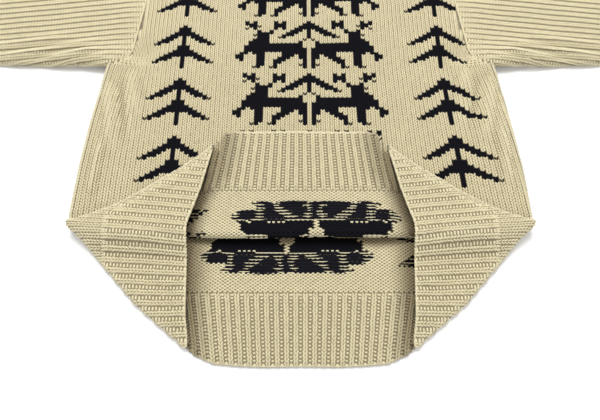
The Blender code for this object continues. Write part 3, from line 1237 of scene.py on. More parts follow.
class Knitter:
    """A Geometry Nodes tree that sets a loop on each point, turned, sized and coloured by it."""

    def __init__(self, cream: bpy.types.Material, black: bpy.types.Material) -> None:
        """Build the loops and the tree.

        Args:
            cream: The material of cream loops.
            black: The material of black ones.
        """
        self.materials = (cream, black)
        self.loops = {shape: Loop().build(shape) for shape in Shape}
        self.sockets: dict[str, str] = {}
        self.tree = self._tree()

    def _tree(self) -> bpy.types.NodeTree:
        """Build the tree.

        Returns:
            The tree.
        """
        tree = bpy.data.node_groups.new("set stitches", "GeometryNodeTree")
        face = tree.interface
        face.new_socket(name="Geometry", in_out="INPUT", socket_type="NodeSocketGeometry")
        for shape in Shape:
            self._input(face, f"{shape.name.title()} loop", "NodeSocketObject")
        for yarn in Yarn:
            self._input(face, f"{yarn.name.title()} yarn", "NodeSocketMaterial")
        face.new_socket(name="Geometry", in_out="OUTPUT", socket_type="NodeSocketGeometry")
        entry, leave = tree.nodes.new("NodeGroupInput"), tree.nodes.new("NodeGroupOutput")
        turn = self._named(tree, "turn", "FLOAT_VECTOR")
        size = self._named(tree, "size", "FLOAT_VECTOR")
        kind = self._named(tree, "loop_shape", "INT")
        join = tree.nodes.new("GeometryNodeJoinGeometry")
        for shape in Shape:
            loop = entry.outputs[f"{shape.name.title()} loop"]
            info = node(tree, "GeometryNodeObjectInfo", {"Object": loop})
            put = node(tree, "GeometryNodeInstanceOnPoints", {
                "Points": entry.outputs["Geometry"],
                "Selection": self._equals(tree, kind, shape.value),
                "Instance": info.outputs["Geometry"],
                "Rotation": turn,
                "Scale": size,
            })
            tree.links.new(put.outputs["Instances"], join.inputs["Geometry"])
        last = node(tree, "GeometryNodeRealizeInstances", {"Geometry": join.outputs["Geometry"]})
        colour = self._named(tree, "yarn", "INT")
        for yarn in Yarn:
            last = node(tree, "GeometryNodeSetMaterial", {
                "Geometry": last.outputs["Geometry"],
                "Material": entry.outputs[f"{yarn.name.title()} yarn"],
            })
            if yarn is Yarn.BLACK:
                feed(tree, last, {"Selection": self._equals(tree, colour, yarn.value)})
        feed(tree, leave, {"Geometry": last.outputs["Geometry"]})
        return tree

    def _input(self, face: bpy.types.NodeTreeInterface, name: str, kind: str) -> None:
        """Add a named input and note its identifier."""
        self.sockets[name] = face.new_socket(name=name, in_out="INPUT", socket_type=kind).identifier

    @staticmethod
    def _named(tree: bpy.types.NodeTree, name: str, kind: str) -> bpy.types.NodeSocket:
        """Read an attribute of the points."""
        made = node(tree, "GeometryNodeInputNamedAttribute", {"Name": name}, data_type=kind)
        return made.outputs["Attribute"]

    @staticmethod
    def _equals(tree: bpy.types.NodeTree, value: bpy.types.NodeSocket, wanted: int) -> bpy.types.NodeSocket:
        """Compare a whole number with a fixed one.

        Args:
            tree: The tree.
            value: The number.
            wanted: The fixed one.

        Returns:
            The result's socket.
        """
        made = node(tree, "FunctionNodeCompare", data_type="INT", operation="EQUAL")
        first, second = [socket for socket in made.inputs if socket.enabled and socket.type == "INT"]
        tree.links.new(value, first)
        second.default_value = wanted
        return made.outputs["Result"]

    def knit(self, name: str, stitches: Stitches) -> bpy.types.Object:
        """Make one mesh of all the loops of a piece.

        Args:
            name: The new piece's name.
            stitches: Its loops.

        Returns:
            The piece, a plain mesh.
        """
        places = in_row(np.concatenate(stitches.places))
        mesh = bpy.data.meshes.new(f"{name}_points")
        mesh.vertices.add(len(places))
        mesh.vertices.foreach_set("co", places.astype(np.float32).ravel())
        self._store(mesh, "turn", "FLOAT_VECTOR", "vector", np.concatenate(stitches.turns))
        self._store(mesh, "size", "FLOAT_VECTOR", "vector", np.concatenate(stitches.sizes))
        self._store(mesh, "loop_shape", "INT", "value", np.concatenate(stitches.shapes))
        self._store(mesh, "yarn", "INT", "value", np.concatenate(stitches.yarns))
        tone = np.random.default_rng(len(places)).random(len(places))
        self._store(mesh, "tone", "FLOAT", "value", tone)
        # Painted shade, which darkens each loop's colour in the material
        self._store(mesh, "hollow", "FLOAT", "value", np.concatenate(stitches.painted_shades))
        carrier = bpy.data.objects.new(f"{name}_points", mesh)
        bpy.context.scene.collection.objects.link(carrier)
        modifier = carrier.modifiers.new("stitches", "NODES")
        modifier.node_group = self.tree
        for shape, loop in self.loops.items():
            modifier[self.sockets[f"{shape.name.title()} loop"]] = loop
        for yarn, material in zip(Yarn, self.materials):
            modifier[self.sockets[f"{yarn.name.title()} yarn"]] = material
        seen = carrier.evaluated_get(bpy.context.evaluated_depsgraph_get())
        made = bpy.data.meshes.new_from_object(seen)
        made.name = name
        for leftover in ("turn", "size", "loop_shape", "yarn"):
            if leftover in made.attributes:
                made.attributes.remove(made.attributes[leftover])
        piece = bpy.data.objects.new(name, made)
        bpy.context.scene.collection.objects.link(piece)
        bpy.data.objects.remove(carrier, do_unlink=True)
        return piece

    @staticmethod
    def _store(mesh: bpy.types.Mesh, name: str, kind: str, key: str, values: Array) -> None:
        """Write an attribute of the points.

        Args:
            mesh: The mesh of the points.
            name: The attribute's name.
            kind: Its data type.
            key: The name of one value in it.
            values: A value for each point.
        """
        dtype = np.int32 if kind == "INT" else np.float32
        made = mesh.attributes.new(name, kind, "POINT")
        made.data.foreach_set(key, values.astype(dtype).ravel())


def in_row(points: Array) -> Array:
    """Move points from the garment's plan to the frame."""
    return points - np.array([0.0, MIDDLE_Y, 0.0])


@dataclass
class Cloth:
    """The thin cloth under the stitches, as a grid over a form.

    Args:
        name: Its name.
        form: Its form.
        a_lines: Where the grid's lines lie across the columns.
        b_lines: Where they lie along them.
        thickness: How thick it is.
        rest: The least height of its inner side.
        rest_within: How far over that height the inner side still drops down to it.
    """

    name: str
    form: Form
    a_lines: Array
    b_lines: Array
    thickness: float = 0.0030
    rest: float = 0.0
    rest_within: float = 0.0010

    def build(self, materials: tuple[bpy.types.Material, ...],
              black: Array | None = None) -> bpy.types.Object:
        """Make the cloth as a wall whose inner side never goes below the table.

        Args:
            materials: Its materials: cream, then black where it has any, both darker than the yarn as
                painted shade between the stitches.
            black: For each cell, whether it is black, with a row for each b line but the last.

        Returns:
            The piece.
        """
        a, b = np.meshgrid(self.a_lines, self.b_lines)
        points = in_row(self.form.place(a.ravel(), b.ravel()))
        # Painted shade at the cloth's points, which darkens its colour in the material
        shaded = self.form.hollow(a.ravel(), b.ravel())
        wide, deep = len(self.a_lines), len(self.b_lines)
        corner = (np.arange(deep - 1)[:, None] * wide + np.arange(wide - 1)[None, :]).ravel()
        quads = np.stack([corner, corner + 1, corner + wide + 1, corner + wide], axis=1)
        colours = np.zeros(len(quads), int) if black is None else self.within(black).ravel().astype(int)
        points, inverse = np.unique(np.round(points, 6), axis=0, return_inverse=True)
        inverse = inverse.reshape(-1)
        quads = inverse[quads]
        hollow = np.zeros(len(points))
        hollow[inverse] = shaded
        faces, kept, known = [], [], set()
        for face, colour in zip(quads.tolist(), colours.tolist()):
            own = list(dict.fromkeys(face))
            if len(own) > 2 and area_of(points, own) > 1e-9 and frozenset(own) not in known:
                known.add(frozenset(own))
                faces.append(own)
                kept.append(colour)
        mesh = bpy.data.meshes.new(self.name)
        mesh.from_pydata(points.tolist(), [], faces)
        for material in materials:
            mesh.materials.append(material)
        mesh.polygons.foreach_set("material_index", kept)
        if self.form.outward < 0:
            mesh.flip_normals()
        self.thicken(mesh)
        mesh.attributes.new("hollow", "FLOAT", "POINT").data.foreach_set("value", np.tile(hollow, 2))
        mesh.shade_smooth()
        piece = bpy.data.objects.new(self.name, mesh)
        bpy.context.scene.collection.objects.link(piece)
        return piece

    @staticmethod
    def within(black: Array) -> Array:
        """Leave out the black stitches that have a cream one both above and below.

        Args:
            black: For each cell, whether it is black.

        Returns:
            The same without them.
        """
        padded = np.pad(black, ((1, 1), (0, 0)))
        return black & (padded[:-2] | padded[2:])

    def thicken(self, mesh: bpy.types.Mesh) -> None:
        """Give the cloth its wall, which rests flat where it is down on the table.

        Args:
            mesh: The cloth's mesh, as yet without thickness.
        """
        sheet = bmesh.new()
        sheet.from_mesh(mesh)
        sheet.normal_update()
        outer = list(sheet.verts)
        rim = [edge for edge in sheet.edges if edge.is_boundary]
        inner = {}
        for vertex in outer:
            place = vertex.co - vertex.normal * self.thickness
            down = place.z < self.rest + self.rest_within < vertex.co.z
            place.z = self.rest if down else max(place.z, self.rest)
            inner[vertex] = sheet.verts.new(place)
        for face in list(sheet.faces):
            made = sheet.faces.new([inner[vertex] for vertex in reversed(face.verts)])
            made.material_index = face.material_index
        for edge in rim:
            loop = edge.link_loops[0]
            first, second = loop.vert, loop.link_loop_next.vert
            made = sheet.faces.new([second, first, inner[first], inner[second]])
            made.material_index = loop.face.material_index
        sheet.to_mesh(mesh)
        sheet.free()


def area_of(points: Array, face: list[int]) -> float:
    """Give about how large a face is.

    Args:
        points: The mesh's points.
        face: Numbers of the face's corners.

    Returns:
        Twice its area, about.
    """
    corners = points[face]
    return float(np.linalg.norm(np.cross(corners[1] - corners[0], corners[2] - corners[0]))
                 + np.linalg.norm(np.cross(corners[-1] - corners[0], corners[-2] - corners[0])))


def face_up(mesh: bpy.types.Mesh) -> None:
    """Turn the faces over if most of them look down.

    Args:
        mesh: The mesh.
    """
    upward = sum(face.normal.z * face.area for face in mesh.polygons)
    if upward < 0:
        mesh.flip_normals()


@dataclass(frozen=True)
class Wool:
    """A matt wool yarn.

    Args:
        name: The material's name.
        color: Its colour, linear.
        shade: The colour of its thinner and shaded fibres.
        roughness: Its roughness.
        sheen: How much its loose fibres catch the light.
        gloss: Its specular level.
        hollow: What its colour is multiplied by as painted shade beside the standing hem edges and under
            the crease.
    """

    name: str
    color: tuple[float, float, float]
    shade: tuple[float, float, float]
    roughness: float = 0.92
    sheen: float = 0.25
    gloss: float = 0.25
    hollow: tuple[float, float, float] = (0.42, 0.38, 0.32)

    def build(self, fibres: bpy.types.NodeTree) -> bpy.types.Material:
        """Make the material.

        Args:
            fibres: The group that gives the fibres' colour mask and relief.

        Returns:
            The material.
        """
        material = bpy.data.materials.new(self.name)
        material.use_nodes = True
        tree = material.node_tree
        group = node(tree, "ShaderNodeGroup", node_tree=fibres)
        for name, value in (("Color", self.color), ("Shade", self.shade), ("Hollow", self.hollow)):
            group.inputs[name].default_value = (*value, 1.0)
        bump = node(tree, "ShaderNodeBump", {"Strength": 0.5, "Distance": 0.0006})
        feed(tree, bump, {"Height": group.outputs["Height"]})
        feed(tree, tree.nodes["Principled BSDF"], {
            "Roughness": self.roughness,
            "Sheen Weight": self.sheen,
            "Sheen Roughness": 0.6,
            "Specular IOR Level": self.gloss,
            "Base Color": group.outputs["Color"],
            "Normal": bump.outputs["Normal"],
        })
        return material


def fibre_group() -> bpy.types.NodeTree:
    """Build the shader group for woollen fibres.

    Returns:
        A group with inputs Color, Shade and Painted shade, and outputs Color and Height.
    """
    tree = bpy.data.node_groups.new("wool fibres", "ShaderNodeTree")
    for name in ("Color", "Shade", "Hollow"):
        tree.interface.new_socket(name=name, in_out="INPUT", socket_type="NodeSocketColor")
    tree.interface.new_socket(name="Color", in_out="OUTPUT", socket_type="NodeSocketColor")
    tree.interface.new_socket(name="Height", in_out="OUTPUT", socket_type="NodeSocketFloat")
    entry, leave = tree.nodes.new("NodeGroupInput"), tree.nodes.new("NodeGroupOutput")
    where = tree.nodes.new("ShaderNodeTexCoord").outputs["Object"]
    fine, broad = (
        node(tree, "ShaderNodeTexNoise", {"Vector": where, "Scale": scale, "Detail": detail}).outputs["Fac"]
        for scale, detail in ((1900.0, 3.0), (60.0, 2.0))
    )
    crest, tone, hollow = (
        node(tree, "ShaderNodeAttribute", attribute_name=name).outputs["Fac"]
        for name in ("crest", "tone", "hollow")
    )
    # Mix towards Shade: painted shade where crest is low, plus the yarn's own uneven tone from the random
    # tone and the noises
    share = -0.12
    for source, weight in ((crest, 0.75), (tone, 0.16), (fine, 0.30), (broad, 0.22)):
        step = node(tree, "ShaderNodeMath", {0: source, 1: weight, 2: share}, operation="MULTIPLY_ADD")
        share = step.outputs["Value"]
    colour = node(tree, "ShaderNodeMix", data_type="RGBA")
    feed(tree, colour, {"Factor": share, 6: entry.outputs["Shade"], 7: entry.outputs["Color"]})
    # Painted shade: the colour is multiplied by the Painted shade colour as far as the hollow attribute
    # says
    dim = node(tree, "ShaderNodeMix", data_type="RGBA", blend_type="MULTIPLY")
    feed(tree, dim, {"Factor": hollow, 6: colour.outputs[2], 7: entry.outputs["Hollow"]})
    feed(tree, leave, {"Color": dim.outputs[2], "Height": fine})
    return tree


@dataclass
class Finishes:
    """The materials of the sweater."""

    cream: bpy.types.Material
    cream_ground_painted_shade: bpy.types.Material
    rib_ground_painted_shade: bpy.types.Material
    black: bpy.types.Material
    black_ground_painted_shade: bpy.types.Material

    @classmethod
    def build(cls) -> "Finishes":
        """Make every material.

        Returns:
            The materials.
        """
        black, gap = (0.010, 0.010, 0.014), (0.008, 0.008, 0.011)
        wools = (
            Wool("cream wool", (0.755, 0.680, 0.460), (0.52, 0.46, 0.285)),
            # The grounds under the stitches are darker than the yarn: painted shade in the gaps between
            # stitches and ribs
            Wool("cream wool, between stitches", (0.30, 0.25, 0.145), (0.22, 0.18, 0.10)),
            Wool("cream wool, between ribs", (0.31, 0.262, 0.155), (0.235, 0.195, 0.112),
                 hollow=(0.34, 0.30, 0.24)),
            Wool("black wool", black, (0.005, 0.005, 0.007), 0.9, 0.0, 0.06),
            Wool("black wool, between stitches", gap, (0.004, 0.004, 0.006), 0.9, 0.0, 0.04),
        )
        fibres = fibre_group()
        return cls(*(wool.build(fibres) for wool in wools))


class Maker:
    """Shared means of making a piece and attaching it to the root."""

    def __init__(self, finishes: Finishes) -> None:
        """Keep the finishes and build the knitting tree."""
        self.finishes = finishes
        self.knitter = Knitter(finishes.cream, finishes.black)

    def grounds(self) -> tuple[bpy.types.Material, bpy.types.Material]:
        """Give the cloth's materials, which are darker than the yarn as painted shade between the stitches.
        """
        return self.finishes.cream_ground_painted_shade, self.finishes.black_ground_painted_shade

    def finish(self, cloth: bpy.types.Object, loops: list[bpy.types.Object], flat: tuple[float, float],
               area: float | None, held: Hold, nodes: tuple[str, ...], slot: str,
               rests: tuple[str, ...]) -> None:
        """Attach a piece's cloth and stitches to the root, hide the solids that it stands for, and log its
        faces.

        Args:
            cloth: The cloth.
            loops: The pieces of stitches on it.
            flat: Not used.
            area: Not used.
            held: Not used.
            nodes: The solids that it stands for.
            slot: Not used.
            rests: Not used.
        """
        for piece in (cloth, *loops):
            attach(piece, "root")
            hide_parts(*nodes)
        log.info("%s: %d faces of cloth, %s", cloth.name, len(cloth.data.polygons),
                 ", ".join(f"{loop.name} {len(loop.data.polygons)}" for loop in loops))


def rib_columns(start: float, end: float, pitch: float) -> tuple[Array, Array]:
    """Give the middles of a rib's knit columns and of its purl columns between two places.

    Args:
        start: The first place.
        end: The last one.
        pitch: Width of one rib.

    Returns:
        The places of the knit columns, and those of the purl ones.
    """
    first, last = math.floor(start / pitch), math.ceil(end / pitch)
    knit = (np.arange(first, last) + 0.5) * pitch
    purl = np.arange(first, last + 1) * pitch
    return knit[(knit > start) & (knit < end)], purl[(purl > start) & (purl < end)]


def crossed(columns: Array, rows: Array) -> tuple[Array, Array]:
    """Give every pair of a column and a row.

    Args:
        columns: The columns.
        rows: The rows.

    Returns:
        The pairs' columns, and their rows.
    """
    a, b = np.meshgrid(columns, rows)
    return a.ravel(), b.ravel()


@dataclass
class Panel:
    """A panel of the body in plain knitting with black motifs.

    Args:
        maker: The shared means.
        pattern: Its motifs.
        half_columns: How many columns of stitches it has on each side of its middle one.
        rows: Its first row, and the one after its last.
        rib_depth: How far along the cloth row 0 starts.
        strand_limit: How far from the middle strands are laid.
    """

    maker: Maker
    pattern: Pattern
    half_columns: int
    rows: tuple[int, int]
    rib_depth: float = 0.0
    strand_limit: float = 0.150

    def along(self, row: Array) -> Array:
        """Give how far along the cloth the middle of a row lies."""
        return self.rib_depth + (row + 0.5) * BODY_GAUGE.height

    def lay(self, name: str, form: Form, rest: float = 0.0) -> tuple[bpy.types.Object, Array, Array]:
        """Make the panel's cloth.

        Args:
            name: The cloth's name.
            form: Its form.
            rest: The least height of its inner side.

        Returns:
            The cloth, with the column and row of every stitch.
        """
        columns = np.arange(-self.half_columns, self.half_columns + 1)
        rows = np.arange(*self.rows)
        a_lines = (np.append(columns, columns[-1] + 1) - 0.5) * BODY_GAUGE.width
        b_lines = self.along(np.append(rows, rows[-1] + 1) - 0.5)
        black = self.pattern.black(*np.meshgrid(columns, rows))
        cloth = Cloth(name, form, a_lines, b_lines, rest=rest).build(self.maker.grounds(), black)
        return cloth, *crossed(columns, rows)

    def inner_face(self, form: Form, column: Array, row: Array, strand_rows: Array) -> Stitches:
        """Knit the inner face: two bumps to a stitch, as bricks lie, and the loose strands.

        Args:
            form: The cloth's form.
            column: Column of each stitch.
            row: Row of each stitch.
            strand_rows: The rows that strands are laid in.

        Returns:
            The stitches.
        """
        stitches = Stitches()
        a, b = column * BODY_GAUGE.width, self.along(row)
        black = self.pattern.crossed_by_black(column, row)
        size = (BODY_GAUGE.width * 0.60, BODY_GAUGE.height * 0.95, PURL_THICK)
        stitches.add(form, a, b, size, Shape.PURL, black)
        stitches.add(form, a + BODY_GAUGE.width / 2, b + BODY_GAUGE.height / 2, size, Shape.PURL, black)
        self.strands(stitches, form, strand_rows)
        return stitches

    def strands(self, stitches: Stitches, form: Form, rows: Array) -> None:
        """Lay the loose strands behind the motifs: each yarn crosses the other's stitches.

        Args:
            stitches: Where to add them.
            form: The cloth's form.
            rows: The rows to lay them in.
        """
        gauge, pattern = BODY_GAUGE, self.pattern
        rng = np.random.default_rng(7)
        for low, high in pattern.spans():
            columns = np.arange(low, high + 1)
            for row in rows:
                black = pattern.black(columns, np.full_like(columns, row))
                if not black.any():
                    continue
                first, last = np.flatnonzero(black)[[0, -1]]
                start = first
                for at in range(first, last + 1):
                    if at < last and black[at + 1] == black[at]:
                        continue
                    run, over_black = at - start + 1, bool(black[at])
                    middle = (columns[start] + columns[at]) / 2
                    window = not over_black and abs(middle - pattern.middle) < 3 and pattern.in_body(row)
                    bare = window or (over_black and run > 7)
                    if abs(middle) * gauge.width < self.strand_limit and not bare:
                        a = np.array([middle * gauge.width])
                        b = np.array([self.along(row) + rng.uniform(-0.2, 0.2) * gauge.height])
                        spare, height = (0.5, 0.50) if over_black else (1.3, 1.35)
                        size = ((run + spare) * gauge.width, gauge.height * height, STRAND_THICK)
                        stitches.add(form, a, b, size, Shape.STRAND, np.array([not over_black]))
                    start = at + 1


@dataclass
class Front(Panel):
    """The front of the body, outer face up, with its black motifs."""

    pattern: Pattern = field(default_factory=lambda: Pattern(middle=2, base=4, bands=5))
    half_columns: int = 50
    rows: tuple[int, int] = (14, 139)
    top_motif_y: float = 0.2265
    top_motif_row: int = 71
    past_side: float = 0.006
    off_armhole: float = 0.0010
    off_neck: float = 0.0012
    under_flap: float = 0.014
    sink: float = 0.0003

    def along(self, row: Array) -> Array:
        """Give y of the middle of a row, counted from the top of the third band of motifs."""
        return self.top_motif_y + (row - self.top_motif_row + 0.5) * BODY_GAUGE.height

    def build(self) -> None:
        """Make the front."""
        form = FrontForm()
        cloth, column, row = self.lay("front_cloth", form)
        a, b = column * BODY_GAUGE.width, self.along(row)
        kept = self.seen(form, a, b)
        size = (BODY_GAUGE.width, BODY_GAUGE.height, KNIT_THICK)
        black = self.pattern.black(column[kept], row[kept])
        stitches = Stitches()
        stitches.add(form, a[kept], b[kept], size, Shape.KNIT, black, sink=self.sink)
        loops = self.maker.knitter.knit("front_stitches", stitches)
        self.maker.finish(cloth, [loops], (0.575, 0.512), 0.265, Hold.LAID, ("front_panel",),
                          "wool_plain", ("back_cloth",))

    def seen(self, form: FrontForm, a: Array, b: Array) -> Array:
        """Say which stitches lie on the front's shape and aren't covered by the turned-up hem.

        Args:
            form: The front's form.
            a: Where each stitch lies across the columns.
            b: Where it lies along them.

        Returns:
            True for one that is kept.
        """
        place = form.place(a, b)
        reach, y = np.abs(place[:, 0]), place[:, 1]
        past = np.abs(a) - table(SIDE_EDGE, b)
        inside = reach < table(ARMHOLE, b) - self.off_armhole
        on_cloth = np.where(b <= ARMPIT_Y, past < self.past_side, inside)
        uncovered = y > covered_below(reach) - self.under_flap
        return on_cloth & uncovered & (b < top_line(a, FRONT_NECK) - self.off_neck)


@dataclass
class TurnedFront(Panel):
    """The front's lower end, turned up with its inner face up: purl ground and loose strands."""

    pattern: Pattern = field(default_factory=lambda: Pattern(middle=3, base=4, bands=1))
    half_columns: int = 25
    rows: tuple[int, int] = (0, 19)
    rib_depth: float = 0.0853

    def build(self) -> None:
        """Make the turned-up part between the rib and the crease."""
        form = FlapForm()
        cloth, column, row = self.lay("turned_front_cloth", form)
        stitches = self.inner_face(form, column, row, np.arange(*self.rows))
        loops = self.maker.knitter.knit("turned_front_stitches", stitches)
        self.maker.finish(cloth, [loops], (0.303, 0.076), None, Hold.FOLDED, ("front_panel",),
                          "wool_plain", ("front_cloth",))


@dataclass
class Back(Panel):
    """The back, inner face up where the open hem and the neck show it."""

    pattern: Pattern = field(default_factory=lambda: Pattern(middle=-3, base=6, bands=5, facing=-1))
    half_columns: int = 49
    rows: tuple[int, int] = (0, 146)
    rib_depth: float = 0.0838
    hem_half: float = 0.152
    hem_top: float = 0.006
    neck_half: float = 0.096
    neck_bottom: float = 0.400
    past_side: float = 0.002
    strand_rows: int = 19

    def build(self) -> None:
        """Make the whole back: its wall, the inner face where it shows, and the outer face underneath."""
        form = BackForm()
        cloth, column, row = self.lay("back_cloth", form, rest=UNDER_Z)
        a, b = column * BODY_GAUGE.width, self.along(row)
        y = form.seam + b - form.depth
        on_cloth = y < top_line(a, BACK_NECK)
        open_hem = (np.abs(a) < self.hem_half) & (y < self.hem_top)
        open_neck = (np.abs(a) < self.neck_half) & (y > self.neck_bottom) & on_cloth
        seen = open_hem | open_neck
        inner = self.inner_face(form, column[seen], row[seen], np.arange(self.strand_rows))
        inside = self.maker.knitter.knit("back_inside_stitches", inner)
        kept = (np.abs(a) < form.half(y) + self.past_side) & on_cloth
        size = (BODY_GAUGE.width, BODY_GAUGE.height, UNDER_Z)
        black = self.pattern.black(column[kept], row[kept])
        outer = Stitches()
        outer.add(BackOutside(), a[kept], b[kept], size, Shape.BEND, black)
        outside = self.maker.knitter.knit("back_outside_stitches", outer)
        self.maker.finish(cloth, [inside, outside], (0.575, 0.579), 0.300, Hold.LAID, ("back_panel",),
                          "wool_plain", ("floor",))


@dataclass
class RibPiece:
    """A piece in one-by-one rib.

    Args:
        maker: The shared means.
        name: The piece's name.
        form: Its form.
        reach: First and last place across the ribs.
        length: How long the ribs are.
        flat: Width and length of its cut.
        solid: The node that it stands for.
        rests: What it lies on.
        slot: The name of its material slot.
        area: Its flat area, where it isn't a rectangle.
        held: How it is held.
        row_height: About how high one row is.
        knit_share: Width of a knit column, as a share of the pitch.
        uneven: How far a purl bump strays, as a share of the pitch.
        knit_thick: How thick a knit stitch is.
        purl_thick: How thick a purl bump is.
        sink: How deep a stitch's foot lies in the cloth.
        cloth_lines: How many lines the cloth has to a rib.
        edges: Which ends of the ribs have a row of edge stitches.
        edge_inset: How far in from the end that row lies.
        edge_height: How high its stitches are.
        edge_thick: How thick they are.
    """

    maker: Maker
    name: str
    form: Form
    reach: tuple[float, float]
    length: float
    flat: tuple[float, float]
    solid: str
    rests: tuple[str, ...] = ("floor",)
    slot: str = "wool_rib"
    area: float | None = None
    held: Hold = Hold.LAID
    row_height: float = 0.0041
    knit_share: float = 0.56
    uneven: float = 0.05
    knit_thick: float = 0.0023
    purl_thick: float = 0.0013
    sink: float = 0.0002
    cloth_lines: int = 4
    edges: tuple[float, ...] = (0.0,)
    edge_inset: float = 0.0009
    edge_height: float = 0.0030
    edge_thick: float = 0.0014

    def keep(self, a: Array, b: Array) -> Array:
        """Say which stitches there are; here, all."""
        return np.ones(a.shape, bool)

    def underneath(self, a: Array, b: Array) -> Array:
        """Say which of them lie underneath; here, none."""
        return np.zeros(a.shape, bool)

    def extras(self, stitches: Stitches) -> None:
        """Add other stitches to the piece; here, none."""

    def build(self) -> None:
        """Make the piece."""
        cloth, middles, height = self.lay()
        stitches = Stitches()
        none = np.zeros(1, bool)
        pitch = self.form.pitch
        knit, purl = rib_columns(*self.reach, pitch)
        for columns, shape, share, thick in (
            (knit, Shape.KNIT, self.knit_share + 0.02, self.knit_thick),
            (purl, Shape.PURL, 1.00 - self.knit_share, self.purl_thick),
        ):
            a, b = crossed(columns, middles)
            if shape is Shape.PURL:
                a = a + pitch * self.uneven * np.random.default_rng(len(a)).uniform(-1, 1, a.shape)
            kept = self.keep(a, b)
            a, b = a[kept], b[kept]
            under = self.underneath(a, b)
            size = (pitch * share, height * (1.02 if shape is Shape.KNIT else 1.1), thick)
            stitches.add(self.form, a[~under], b[~under], size, shape, none, sink=self.sink)
            pressed = Shape.BEND if shape is Shape.KNIT else Shape.PURL
            size = (*size[:2], min(thick, UNDER_Z))
            stitches.add(self.form, a[under], b[under], size, pressed, none)
        self.bind(stitches)
        self.extras(stitches)
        loops = self.maker.knitter.knit(f"{self.name}_stitches", stitches)
        self.maker.finish(cloth, [loops], self.flat, self.area, self.held, (self.solid,), self.slot,
                          self.rests)

    def lay(self) -> tuple[bpy.types.Object, Array, float]:
        """Make the piece's cloth.

        Returns:
            The cloth, where the middle of each row lies, and how high a row is.
        """
        low, high = self.reach
        pitch, parts = self.form.pitch, self.cloth_lines
        first, last = math.floor(low / pitch), math.ceil(high / pitch)
        a_lines = np.arange(first * parts, last * parts + 1) * pitch / parts
        a_lines = a_lines[(a_lines >= low - 1e-6) & (a_lines <= high + 1e-6)]
        b_lines = np.linspace(0.0, self.length, max(2, round(self.length / self.row_height)) + 1)
        # The rib's ground is darker than the yarn: painted shade between the ribs
        ground = (self.maker.finishes.rib_ground_painted_shade,)
        cloth = Cloth(f"{self.name}_cloth", self.form, a_lines, b_lines).build(ground)
        return cloth, (b_lines[1:] + b_lines[:-1]) / 2, b_lines[1] - b_lines[0]

    def bind(self, stitches: Stitches) -> None:
        """Add the row of small stitches along each edge.

        Args:
            stitches: Where to add them.
        """
        pitch = self.form.pitch
        for edge in self.edges:
            a = np.arange(self.reach[0] + pitch / 6, self.reach[1], pitch / 3)
            b = np.full(a.shape, edge + (self.edge_inset if edge < self.length / 2 else -self.edge_inset))
            kept = self.keep(a, b)
            size = (pitch / 2.6, self.edge_height, self.edge_thick)
            stitches.add(self.form, a[kept], b[kept], size, Shape.PURL, np.zeros(1, bool))


@dataclass
class SideOfHem(RibPiece):
    """A triangle of the hem: rib, then plain knitting towards its corner."""

    held: Hold = Hold.FOLDED
    plain_columns: tuple[int, int] = (-14, 20)
    plain_rows: tuple[float, float] = (0.003, 0.172)
    plain_thick: float = 0.0017
    plain_sink: float = 0.0003
    overlap: float = 0.0030
    bend_width: float = 0.009
    turned_under: float = 0.0045

    def keep(self, a: Array, b: Array) -> Array:
        """Keep the rib on its own side of the line, and off what is turned well under."""
        return self.ribbed(a, b, self.overlap) & self.above(a, b)

    def ribbed(self, a: Array, b: Array, spare: float = 0.0) -> Array:
        """Say where there is rib: not in the corner, nor on the bend of the upper edge.

        Args:
            a: Distance across the columns of stitches.
            b: Distance along them.
            spare: How far past that line and bend still counts.

        Returns:
            True where there is rib.
        """
        x, y = self.form.plan(a, b)
        edge, past = self.form.nearest(x, y)
        bend = (edge[:, 1] > 0.0) & (past > spare - self.bend_width)
        return (x < self.form.rib_line + spare) & ~bend

    def above(self, a: Array, b: Array) -> Array:
        """Say which stitches aren't turned well under the edge."""
        return self.form.nearest(*self.form.plan(a, b))[1] < self.turned_under

    def extras(self, stitches: Stitches) -> None:
        """Add the plain knitting of the corner and of the bend.

        Args:
            stitches: Where to add it.
        """
        width, height = self.form.pitch / 2, BODY_GAUGE.height
        a, b = crossed(np.arange(*self.plain_columns) * width, np.arange(*self.plain_rows, height))
        kept = self.above(a, b) & ~self.ribbed(a, b)
        size = (width, height, self.plain_thick)
        none = np.zeros(1, bool)
        stitches.add(self.form, a[kept], b[kept], size, Shape.KNIT, none, sink=self.plain_sink)


@dataclass
class Sleeve(RibPiece):
    """A sleeve in wide rib, cut off along the underarm seam, with its lower layer."""

    off_seam: float = 0.0015
    seam_step: float = 0.0032
    seam_out: float = 0.0018
    seam_size: tuple[float, float, float] = (0.0040, 0.0034, 0.0020)

    def keep(self, a: Array, b: Array) -> Array:
        """Keep what lies beyond the armhole, once round.

        Args:
            a: Distance across the columns of stitches.
            b: Distance along them.

        Returns:
            True for a stitch that is kept.
        """
        form = self.form
        down, _, _ = form.round_folds(a, b)
        return (b > form.start(down) + self.off_seam) & (a < form.last(b))

    def underneath(self, a: Array, b: Array) -> Array:
        """Say which stitches lie underneath."""
        return self.form.round_folds(a, b)[2]

    def extras(self, stitches: Stitches) -> None:
        """Add the ridge of the armhole seam.

        Args:
            stitches: Where to add it.
        """
        a = np.arange(0.0, self.form.armhole[-1][0], self.seam_step)
        b = self.form.start(a) + self.seam_out
        stitches.add(self.form, a, b, self.seam_size, Shape.PURL, np.zeros(1, bool))


@dataclass
class Cuff(RibPiece):
    """A cuff pressed flat, with its lower layer."""

    def underneath(self, a: Array, b: Array) -> Array:
        """Say which stitches lie underneath."""
        form = self.form
        return (a > form.width + (math.pi - 1) * form.radius) | (a < -(math.pi - 1) * form.radius)


